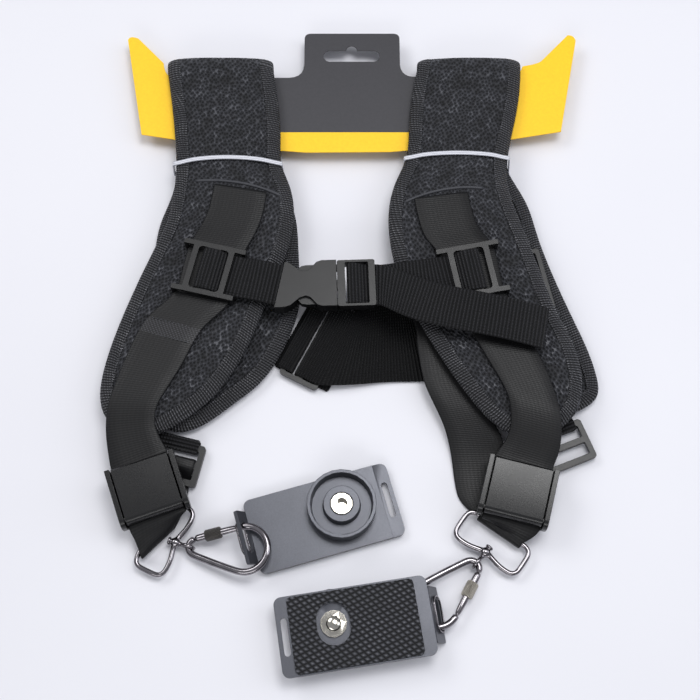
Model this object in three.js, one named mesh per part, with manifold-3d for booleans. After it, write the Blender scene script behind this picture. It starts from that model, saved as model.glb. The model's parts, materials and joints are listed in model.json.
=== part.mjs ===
// Dual camera harness lying on a surface, its two shoulder pads draped over a hang card.
// Millimetres, +Z up. X runs to the right and Y up the layout, as seen from above.

import * as THREE from 'three';
import Module from 'manifold-3d';
import { mergeVertices } from 'three/addons/utils/BufferGeometryUtils.js';

const wasm = await Module();
wasm.setup();

// Clearance between two pieces that touch
const GAP = 0.3;

// Shoulder pads: a padded strip with a taped rim, one lobe in front and one behind the card
const PAD_WIDE = 76;
const PAD_THICK = 8;
const PAD_EDGE = 2.8;
const PAD_SWELL = 20; // distance from the rim over which the padding reaches its full thickness
const PAD_LONG = 238; // from the fold to the tip of the front lobe
const TAPE_THICK = 0.9;
const TAPE_REACH = 7.5;
const FOLD_Y = 181;
const BACK_Y = FOLD_Y - 0.742 * PAD_LONG; // where the back strap leaves the left pad
const PAD_TIP = FOLD_Y - PAD_LONG; // tip of the front lobes; what hangs below the pads is placed from it
const BACK_HIGH = 4.4; // middle of the back layer above the resting surface
const FRONT_HIGH = 14.5;
const PAD_STRETCH = 22; // longest stretch of the pad between two cross sections
const RIM_SEARCH = 0.25; // share of the pad's length looked over for the nearest rim
const SQUEEZE = 0.64; // what the band leaves of the padding's thickness

// Carry straps
const STRAP_WIDE = 32;
const STRAP_THICK = 1.4;
const STRAP_RIDE = 1.6; // the strap stands off the pad where the slider's hooks reach under it

// Chest webbing, its buckle and its sliders
const WEB_WIDE = 25;
const WEB_THICK = 1.2;
const SLIDER_PLATE = 2;
const SLIDER_RAIL = 3.2;
const SLIDER_SLOT = 6.5;
const SLIDER_BAR = 4.6;
const SLIDER_WING = 2.8;
const HOOK_WALL = 1.8;
const HOOK_LIP = 3;
const LIP_THICK = 1;
const BUCKLE_WIDE = 28.4;
const BUCKLE_THICK = 9;
const BUCKLE_SKIN = 1.9;

// Back strap and its adjusters
const BACK_WIDE = 50;
const BACK_THICK = 1.5;
const TAB_WIDE = 44;
const TAB_OFF = -3; // the tab's middle from the adjuster's middle
const ADJUSTER_THICK = 2.4;
const ADJUSTER_LONG = 24;
const ADJUSTER_RAIL = 2.6;
const ADJUSTER_BAR = 3.2;
const LOOP_RAIL = 3;
const LOOP_LONG = 15;
const LOOP_THICK = 1.6;

// Ladder locks at the tips of the back lobes
const LOCK_LONG = 24;
const LOCK_THICK = 3;
const LOCK_BAR = 3.6;
const LOCK_RAIL = 3.2;
const LOCK_HIGH = 3.4;

// Cam-lock stoppers
const STOPPER_LONG = 33;
const STOPPER_CHEEK = 2.7;
const STOPPER_BASE = 1.8;
const STOPPER_HIGH = 10.3; // top of the cheeks above the underside
const LID_THICK = 7;
const LID_FLOOR = 4.1; // underside of the closed lid above the block's underside
const PIN_RADIUS = 1.5;
const STOPPER_TILT = 4;

// Wire rings and swivels
const RING_LONG = 40;
const RING_WIDE = 17.5;
const RING_WIRE = 1.4;
const RING_CORNER = 4;
const RING_DIP = 2.2;
const BOSS_RADIUS = 2.7;
const POST_RADIUS = 1.1;
const RIVET_RADIUS = 2.3;
const RIVET_THICK = 1.1;
const EYE_WIRE = 0.9;
const METAL_HIGH = 4.4; // ring plane and narrow end of the hooks

// Snap hooks
const HOOK_WIRE = 2;
const HOOK_SMALL = 4.5; // radius of the narrow end
const HOOK_BIG = 12.5;
const HOOK_SPREAD = 27.5; // between the centres of the two ends
const GATE_RADIUS = 1.9;
const SLEEVE_RADIUS = 3.3;
const SLEEVE_LONG = 9;

// Camera plates
const PLATE_LONG = 82;
const PLATE_WIDE = 42;
const PLATE_THICK = 3;
const PLATE_CORNER = 4;
const RUBBER_LONG = 68;
const RUBBER_WIDE = 40;
const RUBBER_THICK = 1.5;
const PLATE_SLOT = 20;
const PLATE_SLOT_WIDE = 3.4;
const SHELF_LONG = 7.6;
const SHELF_DEEP = 0.8;
const FLANGE_LONG = 30;
const FLANGE_HIGH = 11.5; // along its slope
const FLANGE_THICK = 2;
const FLANGE_RISE = 65;
const EYELET_LONG = 18;
const EYELET_WIDE = 8;
const EYELET_WALL = 0.9;
const EYELET_X = FLANGE_HIGH - EYELET_WIDE / 2 - EYELET_WALL - 0.4; // the eyelet's middle up the flange
const WINDOW_LONG = 22; // oval recess round the screw, across the plate
const WINDOW_WIDE = 17;
const WINDOW_DEEP = 1.2;
const SCREW_RADIUS = 3.1;
const COLLAR_RADIUS = 7.2;
const INSERT_RADIUS = 6;
const KNOB_RADIUS = 19;
const KNOB_HIGH = 9.2;
const KNOB_FLOOR = 2.4;
const KNOB_WALL = 1.9;
const HUB_RADIUS = 10;
const KNOB_OFF_LONG = 11; // the knob's axis from the middle of the plate
const KNOB_OFF_WIDE = 3;

// Hang card and pad bands
const CARD_THICK = 0.7;
const CARD_HIGH = 9.45;
const BAND_WIDE = 2.6;
const BAND_THICK = 0.7;
const BAND_BOW = 0.28; // in sections of the pad
const BAND_SLACK = 0.8;

// Cross sections of the pads, from the fold to each tip. down is a share of PAD_LONG, aside and wide
// are shares of PAD_WIDE, high is a share of PAD_THICK, lean is in degrees.
const LEFT_FRONT = [
  { down: 0, aside: 0, wide: 0.87, lean: 0, high: 0 },
  { down: 0.097, aside: 0.05, wide: 0.87, lean: 0, high: 0 },
  { down: 0.218, aside: 0.09, wide: 0.85, lean: 0, high: 0 },
  { down: 0.29, aside: 0.097, wide: 0.82, lean: 0, high: 0, slim: SQUEEZE },
  { down: 0.349, aside: 0.145, wide: 0.93, lean: 0, high: 0 },
  { down: 0.437, aside: 0.145, wide: 0.99, lean: 0, high: 0 },
  { down: 0.513, aside: 0.08, wide: 1.01, lean: -6, high: 0 },
  { down: 0.626, aside: -0.054, wide: 1, lean: -12, high: 0 },
  { down: 0.737, aside: -0.18, wide: 0.99, lean: -16, high: 0 },
  { down: 0.824, aside: -0.293, wide: 0.93, lean: -13, high: 0 },
  { down: 0.889, aside: -0.38, wide: 0.84, lean: -10, high: 0 },
  { down: 0.941, aside: -0.471, wide: 0.64, lean: -9, high: -0.15 },
  { down: 0.979, aside: -0.507, wide: 0.36, lean: -7, high: -0.38 },
  { down: 0.998, aside: -0.513, wide: 0.12, lean: -7, high: -0.45 },
];
const LEFT_BACK = [
  { down: 0, aside: 0, wide: 0.87, lean: 0, high: 0 },
  { down: 0.097, aside: 0.046, wide: 0.87, lean: 0, high: 0 },
  { down: 0.218, aside: 0.086, wide: 0.85, lean: 0, high: 0 },
  { down: 0.282, aside: 0.086, wide: 0.83, lean: 0, high: 0, slim: SQUEEZE },
  { down: 0.349, aside: 0.118, wide: 0.93, lean: 0, high: 0 },
  { down: 0.42, aside: 0.105, wide: 1.08, lean: 0, high: 0 },
  { down: 0.529, aside: 0.099, wide: 1.14, lean: -4, high: 0 },
  { down: 0.634, aside: 0.138, wide: 1.1, lean: -8, high: 0 },
  { down: 0.718, aside: 0.085, wide: 1.04, lean: -10, high: 0 },
  { down: 0.782, aside: 0.02, wide: 0.96, lean: -10, high: 0 },
  { down: 0.84, aside: -0.046, wide: 0.87, lean: -7, high: 0 },
  { down: 0.887, aside: -0.125, wide: 0.68, lean: -6, high: 0 },
  { down: 0.933, aside: -0.19, wide: 0.5, lean: -5, high: 0 },
  { down: 0.958, aside: -0.217, wide: 0.32, lean: -5, high: 0 },
  { down: 0.971, aside: -0.217, wide: 0.12, lean: -5, high: 0 },
];
const RIGHT_FRONT = [
  { down: 0, aside: 0, wide: 0.85, lean: 0, high: 0 },
  { down: 0.097, aside: -0.043, wide: 0.88, lean: 0, high: 0 },
  { down: 0.218, aside: -0.1, wide: 0.82, lean: 0, high: 0.05 },
  { down: 0.277, aside: -0.13, wide: 0.79, lean: 0, high: 0.1, slim: SQUEEZE },
  { down: 0.347, aside: -0.189, wide: 0.9, lean: 0, high: 0.25 },
  { down: 0.416, aside: -0.188, wide: 0.99, lean: 2, high: 0.34 },
  { down: 0.521, aside: -0.129, wide: 1.06, lean: 10, high: 0.34 },
  { down: 0.616, aside: -0.037, wide: 1.05, lean: 14, high: 0.34 },
  { down: 0.734, aside: 0.113, wide: 0.99, lean: 13, high: 0.34 },
  { down: 0.807, aside: 0.233, wide: 0.96, lean: 14, high: 0.34 },
  { down: 0.872, aside: 0.322, wide: 0.89, lean: 11, high: 0.3 },
  { down: 0.945, aside: 0.382, wide: 0.7, lean: 8, high: 0.08 },
  { down: 0.985, aside: 0.371, wide: 0.37, lean: 2, high: -0.08 },
  { down: 1, aside: 0.378, wide: 0.11, lean: 0, high: -0.14 },
];
const RIGHT_BACK = [
  { down: 0, aside: 0, wide: 0.85, lean: 0, high: 0 },
  { down: 0.097, aside: -0.043, wide: 0.88, lean: 0, high: 0 },
  { down: 0.218, aside: -0.1, wide: 0.83, lean: 0, high: 0 },
  { down: 0.277, aside: -0.118, wide: 0.8, lean: 0, high: 0, slim: SQUEEZE },
  { down: 0.323, aside: -0.122, wide: 0.92, lean: 5, high: 0 },
  { down: 0.391, aside: -0.06, wide: 1.01, lean: 5, high: 0 },
  { down: 0.504, aside: -0.005, wide: 1.05, lean: 9, high: 0 },
  { down: 0.65, aside: 0.129, wide: 1.07, lean: 12, high: 0 },
  { down: 0.792, aside: 0.326, wide: 1.03, lean: 10, high: 0 },
  { down: 0.859, aside: 0.433, wide: 0.93, lean: 12, high: 0 },
  { down: 0.903, aside: 0.533, wide: 0.76, lean: 12, high: 0 },
  { down: 0.922, aside: 0.582, wide: 0.53, lean: 14, high: 0 },
  { down: 0.935, aside: 0.595, wide: 0.26, lean: 17, high: 0 },
];

const SIDES = [
  {
    name: 'left',
    foldX: -80.5,
    front: LEFT_FRONT,
    back: LEFT_BACK,
    sliderSection: 6.72,
    sliderAside: 1,
    sliderLean: -13,
    stopper: [-110, PAD_TIP - 29],
    stopperLean: 19.5,
    ring: [-101, PAD_TIP - 53.5],
    ringLean: 65,
    swivelTurn: 8,
    hookTurn: -4.1,
    hookTilt: 8.9,
    lock: [-102.2, PAD_TIP - 9.6],
    lockLean: -13.7,
    tabLong: 2.4,
    bandSection: 3,
    plate: [-14.3, PAD_TIP - 42.5],
    plateTurn: 16,
    plateFlipped: false,
  },
  {
    name: 'right',
    foldX: 73.8,
    front: RIGHT_FRONT,
    back: RIGHT_BACK,
    sliderSection: 6.85,
    sliderAside: 0,
    sliderLean: 11,
    stopper: [91.3, PAD_TIP - 30.5],
    stopperLean: -14.5,
    ring: [77.3, PAD_TIP - 56.2],
    ringLean: -35.3,
    swivelTurn: -5,
    hookTurn: -136,
    hookTilt: 2.2,
    lock: [115.5, PAD_TIP - 4],
    lockLean: 21.4,
    tabLong: 2.4,
    bandSection: 3,
    plate: [2.7, PAD_TIP - 101.9],
    plateTurn: 8.9,
    plateFlipped: true,
  },
];

const rad = THREE.MathUtils.degToRad;
const vec = (x, y, z = 0) => new THREE.Vector3(x, y, z);
const leaning = (degrees) => vec(Math.cos(rad(degrees)), Math.sin(rad(degrees)), 0);

const LOOKS = {
  mesh: [0x1c1d24, 0.9, 0],
  tape: [0x18181c, 0.85, 0],
  strap: [0x17171b, 0.6, 0],
  webbing: [0x131316, 0.85, 0],
  plastic: [0x2c2c31, 0.5, 0],
  nickel: [0x77757a, 0.2, 1],
  steel: [0xb9b8b4, 0.3, 1],
  plate: [0x35353b, 0.45, 0.3],
  rubber: [0x232327, 0.95, 0],
  card: [0xf3c31f, 0.7, 0],
  band: [0xdedfe3, 0.6, 0],
};

function piece(parent, name, geometry, look) {
  const [color, roughness, metalness] = LOOKS[look];
  const mesh = new THREE.Mesh(geometry, new THREE.MeshStandardMaterial({ color, roughness, metalness }));
  mesh.name = name;
  parent.add(mesh);
  return mesh;
}

// Closed skin over a row of rings that have the same number of points
function skin(rings, looped = false) {
  const count = rings[0].length;
  const faces = [];
  const spans = looped ? rings.length : rings.length - 1;
  for (let i = 0; i < spans; i += 1) {
    const here = i * count;
    const next = ((i + 1) % rings.length) * count;
    for (let j = 0; j < count; j += 1) {
      const k = (j + 1) % count;
      faces.push(here + j, here + k, next + k, here + j, next + k, next + j);
    }
  }
  if (!looped) {
    const last = (rings.length - 1) * count;
    for (let j = 1; j < count - 1; j += 1) {
      faces.push(0, j + 1, j, last, last + j, last + j + 1);
    }
  }
  const points = rings.flat();
  let volume = 0;
  for (let i = 0; i < faces.length; i += 3) {
    const [a, b, c] = [points[faces[i]], points[faces[i + 1]], points[faces[i + 2]]];
    volume += a.dot(b.clone().cross(c));
  }
  if (volume < 0) {
    faces.reverse();
  }
  const geometry = new THREE.BufferGeometry();
  const positions = points.flatMap((point) => [point.x, point.y, point.z]);
  geometry.setAttribute('position', new THREE.Float32BufferAttribute(positions, 3));
  geometry.setIndex(faces);
  geometry.computeVertexNormals();
  return geometry;
}

// Band of even thickness. Each row has its middle c, its crosswise direction a and a width share w.
function ribbon(rows, wide, thick, steps = 2, looped = false) {
  const middle = new THREE.CatmullRomCurve3(rows.map((row) => row.c), looped);
  const spans = looped ? rows.length : rows.length - 1;
  const count = spans * steps + (looped ? 0 : 1);
  const rings = [];
  for (let i = 0; i < count; i += 1) {
    const t = i / (spans * steps);
    const place = t * spans;
    const low = Math.min(Math.floor(place), spans - 1);
    const from = rows[low];
    const to = rows[(low + 1) % rows.length];
    const share = place - low;
    const across = from.a.clone().lerp(to.a, share).normalize();
    const half = (wide / 2) * THREE.MathUtils.lerp(from.w ?? 1, to.w ?? 1, share);
    const up = across.clone().cross(middle.getTangent(t)).normalize();
    const centre = middle.getPoint(t);
    const corner = (side, level) =>
      centre.clone().addScaledVector(across, side * half).addScaledVector(up, (level * thick) / 2);
    rings.push([corner(-1, 1), corner(1, 1), corner(1, -1), corner(-1, -1)]);
  }
  return skin(rings, looped);
}

function circle(radius) {
  const shape = new THREE.Shape();
  shape.absarc(0, 0, radius, 0, Math.PI * 2);
  return shape;
}

// Rod along a curve
function rod(curve, radius, steps, sides = 8) {
  return new THREE.ExtrudeGeometry(circle(radius), { steps, curveSegments: sides / 2, extrudePath: curve });
}

function pin(radius, length, sides = 16) {
  return new THREE.CylinderGeometry(radius, radius, length, sides);
}

function box(x0, x1, y0, y1, z0, z1) {
  const geometry = new THREE.BoxGeometry(x1 - x0, y1 - y0, z1 - z0);
  return geometry.translate((x0 + x1) / 2, (y0 + y1) / 2, (z0 + z1) / 2);
}

// Shape with rounded corners
function roundedBox(x0, x1, y0, y1, corner) {
  const shape = new THREE.Shape();
  shape.moveTo(x0 + corner, y0);
  shape.lineTo(x1 - corner, y0);
  shape.absarc(x1 - corner, y0 + corner, corner, -Math.PI / 2, 0);
  shape.lineTo(x1, y1 - corner);
  shape.absarc(x1 - corner, y1 - corner, corner, 0, Math.PI / 2);
  shape.lineTo(x0 + corner, y1);
  shape.absarc(x0 + corner, y1 - corner, corner, Math.PI / 2, Math.PI);
  shape.lineTo(x0, y0 + corner);
  shape.absarc(x0 + corner, y0 + corner, corner, Math.PI, Math.PI * 1.5);
  return shape;
}

function slab(shape, z0, z1, curveSegments = 3) {
  const geometry = new THREE.ExtrudeGeometry(shape, { depth: z1 - z0, bevelEnabled: false, curveSegments });
  return geometry.translate(0, 0, z0);
}

function solid(geometry) {
  const bare = new THREE.BufferGeometry();
  bare.setAttribute('position', geometry.getAttribute('position').clone());
  if (geometry.index) {
    bare.setIndex(geometry.index.clone());
  }
  const merged = mergeVertices(bare, 1e-4);
  const vertProperties = Float32Array.from(merged.getAttribute('position').array);
  const triVerts = Uint32Array.from(merged.index.array);
  return new wasm.Manifold(new wasm.Mesh({ numProp: 3, vertProperties, triVerts }));
}

function carved(start, { add = [], cut = [] }) {
  let body = solid(start);
  for (const extra of add) {
    body = body.add(solid(extra));
  }
  for (const extra of cut) {
    body = body.subtract(solid(extra));
  }
  const mesh = body.getMesh();
  const geometry = new THREE.BufferGeometry();
  const positions = [];
  for (let i = 0; i < mesh.numVert; i += 1) {
    const at = i * mesh.numProp;
    positions.push(...mesh.vertProperties.slice(at, at + 3));
  }
  geometry.setAttribute('position', new THREE.Float32BufferAttribute(positions, 3));
  geometry.setIndex(Array.from(mesh.triVerts));
  geometry.computeVertexNormals();
  return geometry;
}

// Shoulder pad as a mapping: section number along a lobe, share of the half width, height over the middle
function padCourse(side) {
  const place = (row, base) => ({
    c: vec(side.foldX + row.aside * PAD_WIDE, FOLD_Y - row.down * PAD_LONG, base + row.high * PAD_THICK),
    form: vec(row.wide * PAD_WIDE, row.lean, row.slim ?? 1),
  });
  const front = side.front.map((row) => place(row, FRONT_HIGH)).reverse();
  const back = side.back.map((row) => place(row, BACK_HIGH));
  const radius = (FRONT_HIGH - BACK_HIGH) / 2;
  const fold = [45, 90, 135].map((angle) => ({
    c: vec(
      side.foldX,
      FOLD_Y + radius * Math.sin(rad(angle)),
      BACK_HIGH + radius + radius * Math.cos(rad(angle)),
    ),
    form: front.at(-1).form.clone(),
  }));
  const rows = [...front, ...fold, ...back];
  const course = {
    spans: rows.length - 1,
    frontTip: front.length - 1,
    backFold: front.length + fold.length,
    middle: new THREE.CatmullRomCurve3(rows.map((row) => row.c)),
    form: new THREE.CatmullRomCurve3(rows.map((row) => row.form)),
  };
  course.stations = rows.flatMap((row, i) => {
    const long = i + 1 < rows.length && row.c.distanceTo(rows[i + 1].c) > PAD_STRETCH;
    return (long ? [i, i + 0.5] : [i]).map((place) => place / course.spans);
  });
  const edge = [];
  for (const t of course.stations) {
    const frame = padFrame(course, t);
    const [left, right] = [-1, 1].map((q) =>
      frame.centre.clone().addScaledVector(frame.across, q * frame.half));
    edge.push({ t: frame.t, left, right });
  }
  const stretch = (t, from, to) => ({ t, line: new THREE.Line3(from, to) });
  course.rim = [
    stretch(0, edge[0].left, edge[0].right),
    stretch(1, edge.at(-1).left, edge.at(-1).right),
  ];
  for (let i = 1; i < edge.length; i += 1) {
    course.rim.push(stretch(edge[i].t, edge[i - 1].left, edge[i].left));
    course.rim.push(stretch(edge[i].t, edge[i - 1].right, edge[i].right));
  }
  return course;
}

function padFrame(course, t) {
  const centre = course.middle.getPoint(t);
  const form = course.form.getPoint(t);
  const across = leaning(form.y);
  const up = across.clone().cross(course.middle.getTangent(t)).normalize();
  return { centre, across, up, half: form.x / 2 - TAPE_THICK - GAP, lean: form.y, slim: form.z, t };
}

// Distance from a place on the pad to the nearest stretch of its rim on the same lobe
function toRim(course, frame, q) {
  const place = frame.centre.clone().addScaledVector(frame.across, q * frame.half);
  const near = course.rim.filter((stretch) => Math.abs(stretch.t - frame.t) < RIM_SEARCH);
  const closest = new THREE.Vector3();
  return Math.min(...near.map(({ line }) => line.closestPointToPoint(place, true, closest).distanceTo(place)));
}

// Half thickness of the padding at a distance from the rim
function padHalf(frame, distance) {
  const reach = Math.min(1, Math.max(0, distance) / PAD_SWELL);
  const swell = 1 - (1 - reach) ** 2;
  return frame.slim * THREE.MathUtils.lerp(PAD_EDGE / 2, PAD_THICK / 2, swell);
}

// Height of the outside over the pad's middle, tape included
function outside(frame, q) {
  const distance = frame.half * (1 - Math.abs(q));
  if (distance > TAPE_REACH + 1.5) {
    return padHalf(frame, distance);
  }
  const rim = frame.slim * (PAD_EDGE / 2) + GAP + TAPE_THICK * 0.6;
  const inner = padHalf(frame, TAPE_REACH) + GAP + TAPE_THICK;
  return THREE.MathUtils.lerp(rim, inner, Math.min(1, distance / TAPE_REACH));
}

const frontT = (course, section) => (course.frontTip - section) / course.spans;
const backT = (course, section) => (course.backFold + section) / course.spans;

function padCore(course) {
  const tops = [-1, -0.62, 0, 0.62, 1];
  const rings = [];
  for (const t of course.stations) {
    const frame = padFrame(course, t);
    const point = (q, level) => {
      const high = level * padHalf(frame, toRim(course, frame, q));
      return frame.centre.clone().addScaledVector(frame.across, q * frame.half).addScaledVector(frame.up, high);
    };
    rings.push([...tops.map((q) => point(q, 1)), ...tops.map((q) => point(-q, -1))]);
  }
  return skin(rings);
}

function padTape(course) {
  const rim = [];
  for (const q of [1, -1]) {
    const stations = q > 0 ? course.stations : [...course.stations].reverse();
    for (const t of stations) {
      const frame = padFrame(course, t);
      rim.push({ frame, at: frame.centre.clone().addScaledVector(frame.across, q * frame.half) });
    }
  }
  const rings = rim.map(({ frame, at }, i) => {
    const before = rim[(i + rim.length - 1) % rim.length].at;
    const after = rim[(i + 1) % rim.length].at;
    const outward = after.clone().sub(before).cross(frame.up).normalize();
    const inner = padHalf(frame, TAPE_REACH) + GAP;
    const edge = frame.slim * (PAD_EDGE / 2) + GAP;
    const profile = [
      [-TAPE_REACH, inner + TAPE_THICK],
      [GAP + TAPE_THICK, edge + TAPE_THICK * 0.6],
      [GAP + TAPE_THICK, -edge - TAPE_THICK * 0.6],
      [-TAPE_REACH, -inner - TAPE_THICK],
      [-TAPE_REACH, -inner],
      [GAP, -edge],
      [GAP, edge],
      [-TAPE_REACH, inner],
    ];
    return profile.map(([off, high]) =>
      at.clone().addScaledVector(outward, off).addScaledVector(frame.up, high));
  });
  return skin(rings, true);
}

// Place on top of the front lobe, at a section and a distance aside, with a height over its surface
function onPad(course, section, aside, high, lean) {
  const frame = padFrame(course, frontT(course, section));
  const surface = padHalf(frame, toRim(course, frame, aside / frame.half));
  return {
    c: frame.centre.clone().addScaledVector(frame.across, aside).addScaledVector(frame.up, surface + high),
    a: frame.across.clone().applyAxisAngle(frame.up, rad(lean - frame.lean)),
    up: frame.up,
  };
}

function padBand(side, course) {
  const lift = GAP + BAND_THICK / 2;
  const beyond = GAP + TAPE_THICK + lift + BAND_SLACK;
  const rows = [];
  // across the top of the front layer, then back across the bottom of the back layer
  for (const [at, order, bow] of [[frontT, 1, BAND_BOW], [backT, -1, 0]]) {
    const place = (q, off, high) => {
      const frame = padFrame(course, at(course, side.bandSection - bow * (1 - Math.min(1, q * q))));
      const c = frame.centre.clone().addScaledVector(frame.across, q * frame.half + off);
      rows.push({ c: c.addScaledVector(frame.up, high(frame)), a: vec(0, 1) });
    };
    const corner = (frame) => outside(frame, 1) + lift + BAND_SLACK;
    place(-order, -order * beyond, () => 0);
    place(-order, -order * beyond, corner);
    for (const share of [-0.88, -0.73, -0.4, 0, 0.4, 0.73, 0.88]) {
      place(order * share, 0, (frame) => outside(frame, share) + lift + BAND_SLACK * Math.abs(share));
    }
    place(order, order * beyond, corner);
    place(order, order * beyond, () => 0);
  }
  return ribbon(rows, BAND_WIDE, BAND_THICK, 1, true);
}

// Frame of a piece that sits on the pad: x across the strap, y along it, z off the pad
function seatOnPad(course, section, aside, lean) {
  const seat = onPad(course, section, aside, 0, lean);
  const matrix = new THREE.Matrix4().makeBasis(seat.a, seat.up.clone().cross(seat.a), seat.up);
  return matrix.setPosition(seat.c);
}

// Sternum slider: frame with two slots, wings with hooks round the strap's edges
const SLIDER = {
  halfX: SLIDER_BAR / 2 + SLIDER_SLOT + SLIDER_RAIL,
  halfY: WEB_WIDE / 2 + GAP * 2 + SLIDER_WING,
  floor: STRAP_RIDE + STRAP_THICK + GAP * 3 + WEB_THICK * 2,
  hookX: STRAP_WIDE / 2 + GAP,
};

function sliderGeometry() {
  const { halfX, halfY, floor, hookX } = SLIDER;
  const outer = hookX + HOOK_WALL;
  const slotEnd = WEB_WIDE / 2 + GAP * 2;
  const frame = roundedBox(-halfX, halfX, -halfY, halfY, 2);
  for (const side of [-1, 1]) {
    const inner = side * (SLIDER_BAR / 2);
    const far = side * (SLIDER_BAR / 2 + SLIDER_SLOT);
    frame.holes.push(roundedBox(Math.min(inner, far), Math.max(inner, far), -slotEnd, slotEnd, 2.2));
  }
  const add = [];
  for (const end of [-1, 1]) {
    const y0 = end > 0 ? halfY - SLIDER_WING : -halfY;
    const y1 = y0 + SLIDER_WING;
    for (const side of [-1, 1]) {
      const reach = [side * (halfX - 1), side * outer].sort((a, b) => a - b);
      const wall = [side * hookX, side * outer].sort((a, b) => a - b);
      const lip = [side * (hookX - HOOK_LIP), side * outer].sort((a, b) => a - b);
      add.push(box(reach[0], reach[1], y0, y1, floor, floor + SLIDER_PLATE));
      add.push(box(wall[0], wall[1], y0, y1, GAP, floor + SLIDER_PLATE - 0.2));
      add.push(box(lip[0], lip[1], y0, y1, GAP, GAP + LIP_THICK));
    }
  }
  return carved(slab(frame, floor, floor + SLIDER_PLATE), { add });
}

// Webbing wound on a slider's bar, listed from its free end, in the slider's x and z. hand is -1 for
// webbing that leaves to the left.
function woundOnSlider(seat, hand, last) {
  const low = STRAP_RIDE + STRAP_THICK + GAP + WEB_THICK / 2;
  const high = low + WEB_THICK + GAP;
  const over = SLIDER.floor + SLIDER_PLATE + GAP + WEB_THICK / 2;
  const bar = SLIDER_BAR / 2;
  const route = [
    [last, low - 0.1],
    [12, low],
    [4, low],
    [-bar - 0.7, low],
    [-bar - 2.9, low + 0.9],
    [-bar - 3.3, SLIDER.floor + 0.8],
    [-bar - 2.7, over - 0.9],
    [-bar - 0.9, over],
    [bar - 0.7, over],
    [bar + 1, over - 0.2],
    [bar + SLIDER_SLOT / 2, SLIDER.floor + SLIDER_PLATE / 2],
    [bar + SLIDER_SLOT - 0.8, high + 0.2],
    [bar + SLIDER_SLOT + 0.8, high],
    [SLIDER.halfX + 0.4, high],
    [17, high - 0.1],
  ];
  const a = vec(0, 1).transformDirection(seat);
  return route.map(([x, z]) => ({ c: vec(hand * x, 0, z).applyMatrix4(seat), a }));
}

// Rows round a bar that lies along a frame's y, from one angle to another
function wrapped(frame, bar, radius, from, to, count = 4) {
  const a = vec(0, 1).transformDirection(frame);
  return Array.from({ length: count + 1 }, (_, i) => {
    const angle = rad(THREE.MathUtils.lerp(from, to, i / count));
    const c = vec(bar.x + radius * Math.cos(angle), 0, bar.z + radius * Math.sin(angle));
    return { c: c.applyMatrix4(frame), a };
  });
}

// Side-release buckle, in its own frame: x along the webbing
const BUCKLE = { centre: [-14, 31.9, 20], turn: 2, left: -31, split: 6.5, right: 28.5, hood: -16.8 };
const BUCKLE_BAR = { x: -23.8, z: -0.8, radius: 1.5 };
const HOOD_SLANT = -13; // the female half's open end is square to the webbing that enters it
const HOOD_END = 2.4; // from the bar's axis to the open end
const MALE_BAR = { x: 15.2, z: 0.8, radius: 1.7 };
const MALE_RAIL = { x: 24.8, z: 0.5 }; // near side and underside of the buckle's last rail

function buckleFrame() {
  const matrix = new THREE.Matrix4().makeRotationZ(rad(BUCKLE.turn));
  return matrix.setPosition(...BUCKLE.centre);
}

function hoodFrame() {
  const slant = new THREE.Matrix4().makeRotationZ(rad(HOOD_SLANT));
  return slant.setPosition(BUCKLE_BAR.x, 0, BUCKLE_BAR.z);
}

function femaleBuckle() {
  const half = BUCKLE_WIDE / 2;
  const waist = 7.6;
  const room = half - 1.5;
  const shape = new THREE.Shape();
  shape.moveTo(BUCKLE.left, -half);
  shape.lineTo(-24, -half);
  shape.bezierCurveTo(-18, -half, -17, -waist, -11.5, -waist);
  shape.bezierCurveTo(-7, -waist, -7, -half, -2, -half);
  shape.lineTo(BUCKLE.split, -half);
  shape.lineTo(BUCKLE.split, half);
  shape.lineTo(-2, half);
  shape.bezierCurveTo(-7, half, -7, waist, -11.5, waist);
  shape.bezierCurveTo(-17, waist, -18, half, -24, half);
  shape.lineTo(BUCKLE.left, half);
  const thick = BUCKLE_THICK / 2;
  const webRoom = WEB_WIDE / 2 + GAP;
  const roof = thick - BUCKLE_SKIN - BUCKLE_BAR.z;
  const behind = BUCKLE_BAR.radius + GAP * 2 + WEB_THICK + 0.3;
  const bar = pin(BUCKLE_BAR.radius, BUCKLE_WIDE, 10).applyMatrix4(hoodFrame());
  const hollow = carved(slab(shape, -thick, thick, 4), {
    cut: [
      box(-20, -HOOD_END, -half * 2, half * 2, -thick * 2, thick * 2).applyMatrix4(hoodFrame()),
      box(BUCKLE.hood, BUCKLE.split + 1, -room, room, -thick + BUCKLE_SKIN, thick - BUCKLE_SKIN),
      box(-20, behind, -webRoom, webRoom, -thick * 2, roof).applyMatrix4(hoodFrame()),
    ],
  });
  return carved(hollow, { add: [bar] });
}

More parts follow.
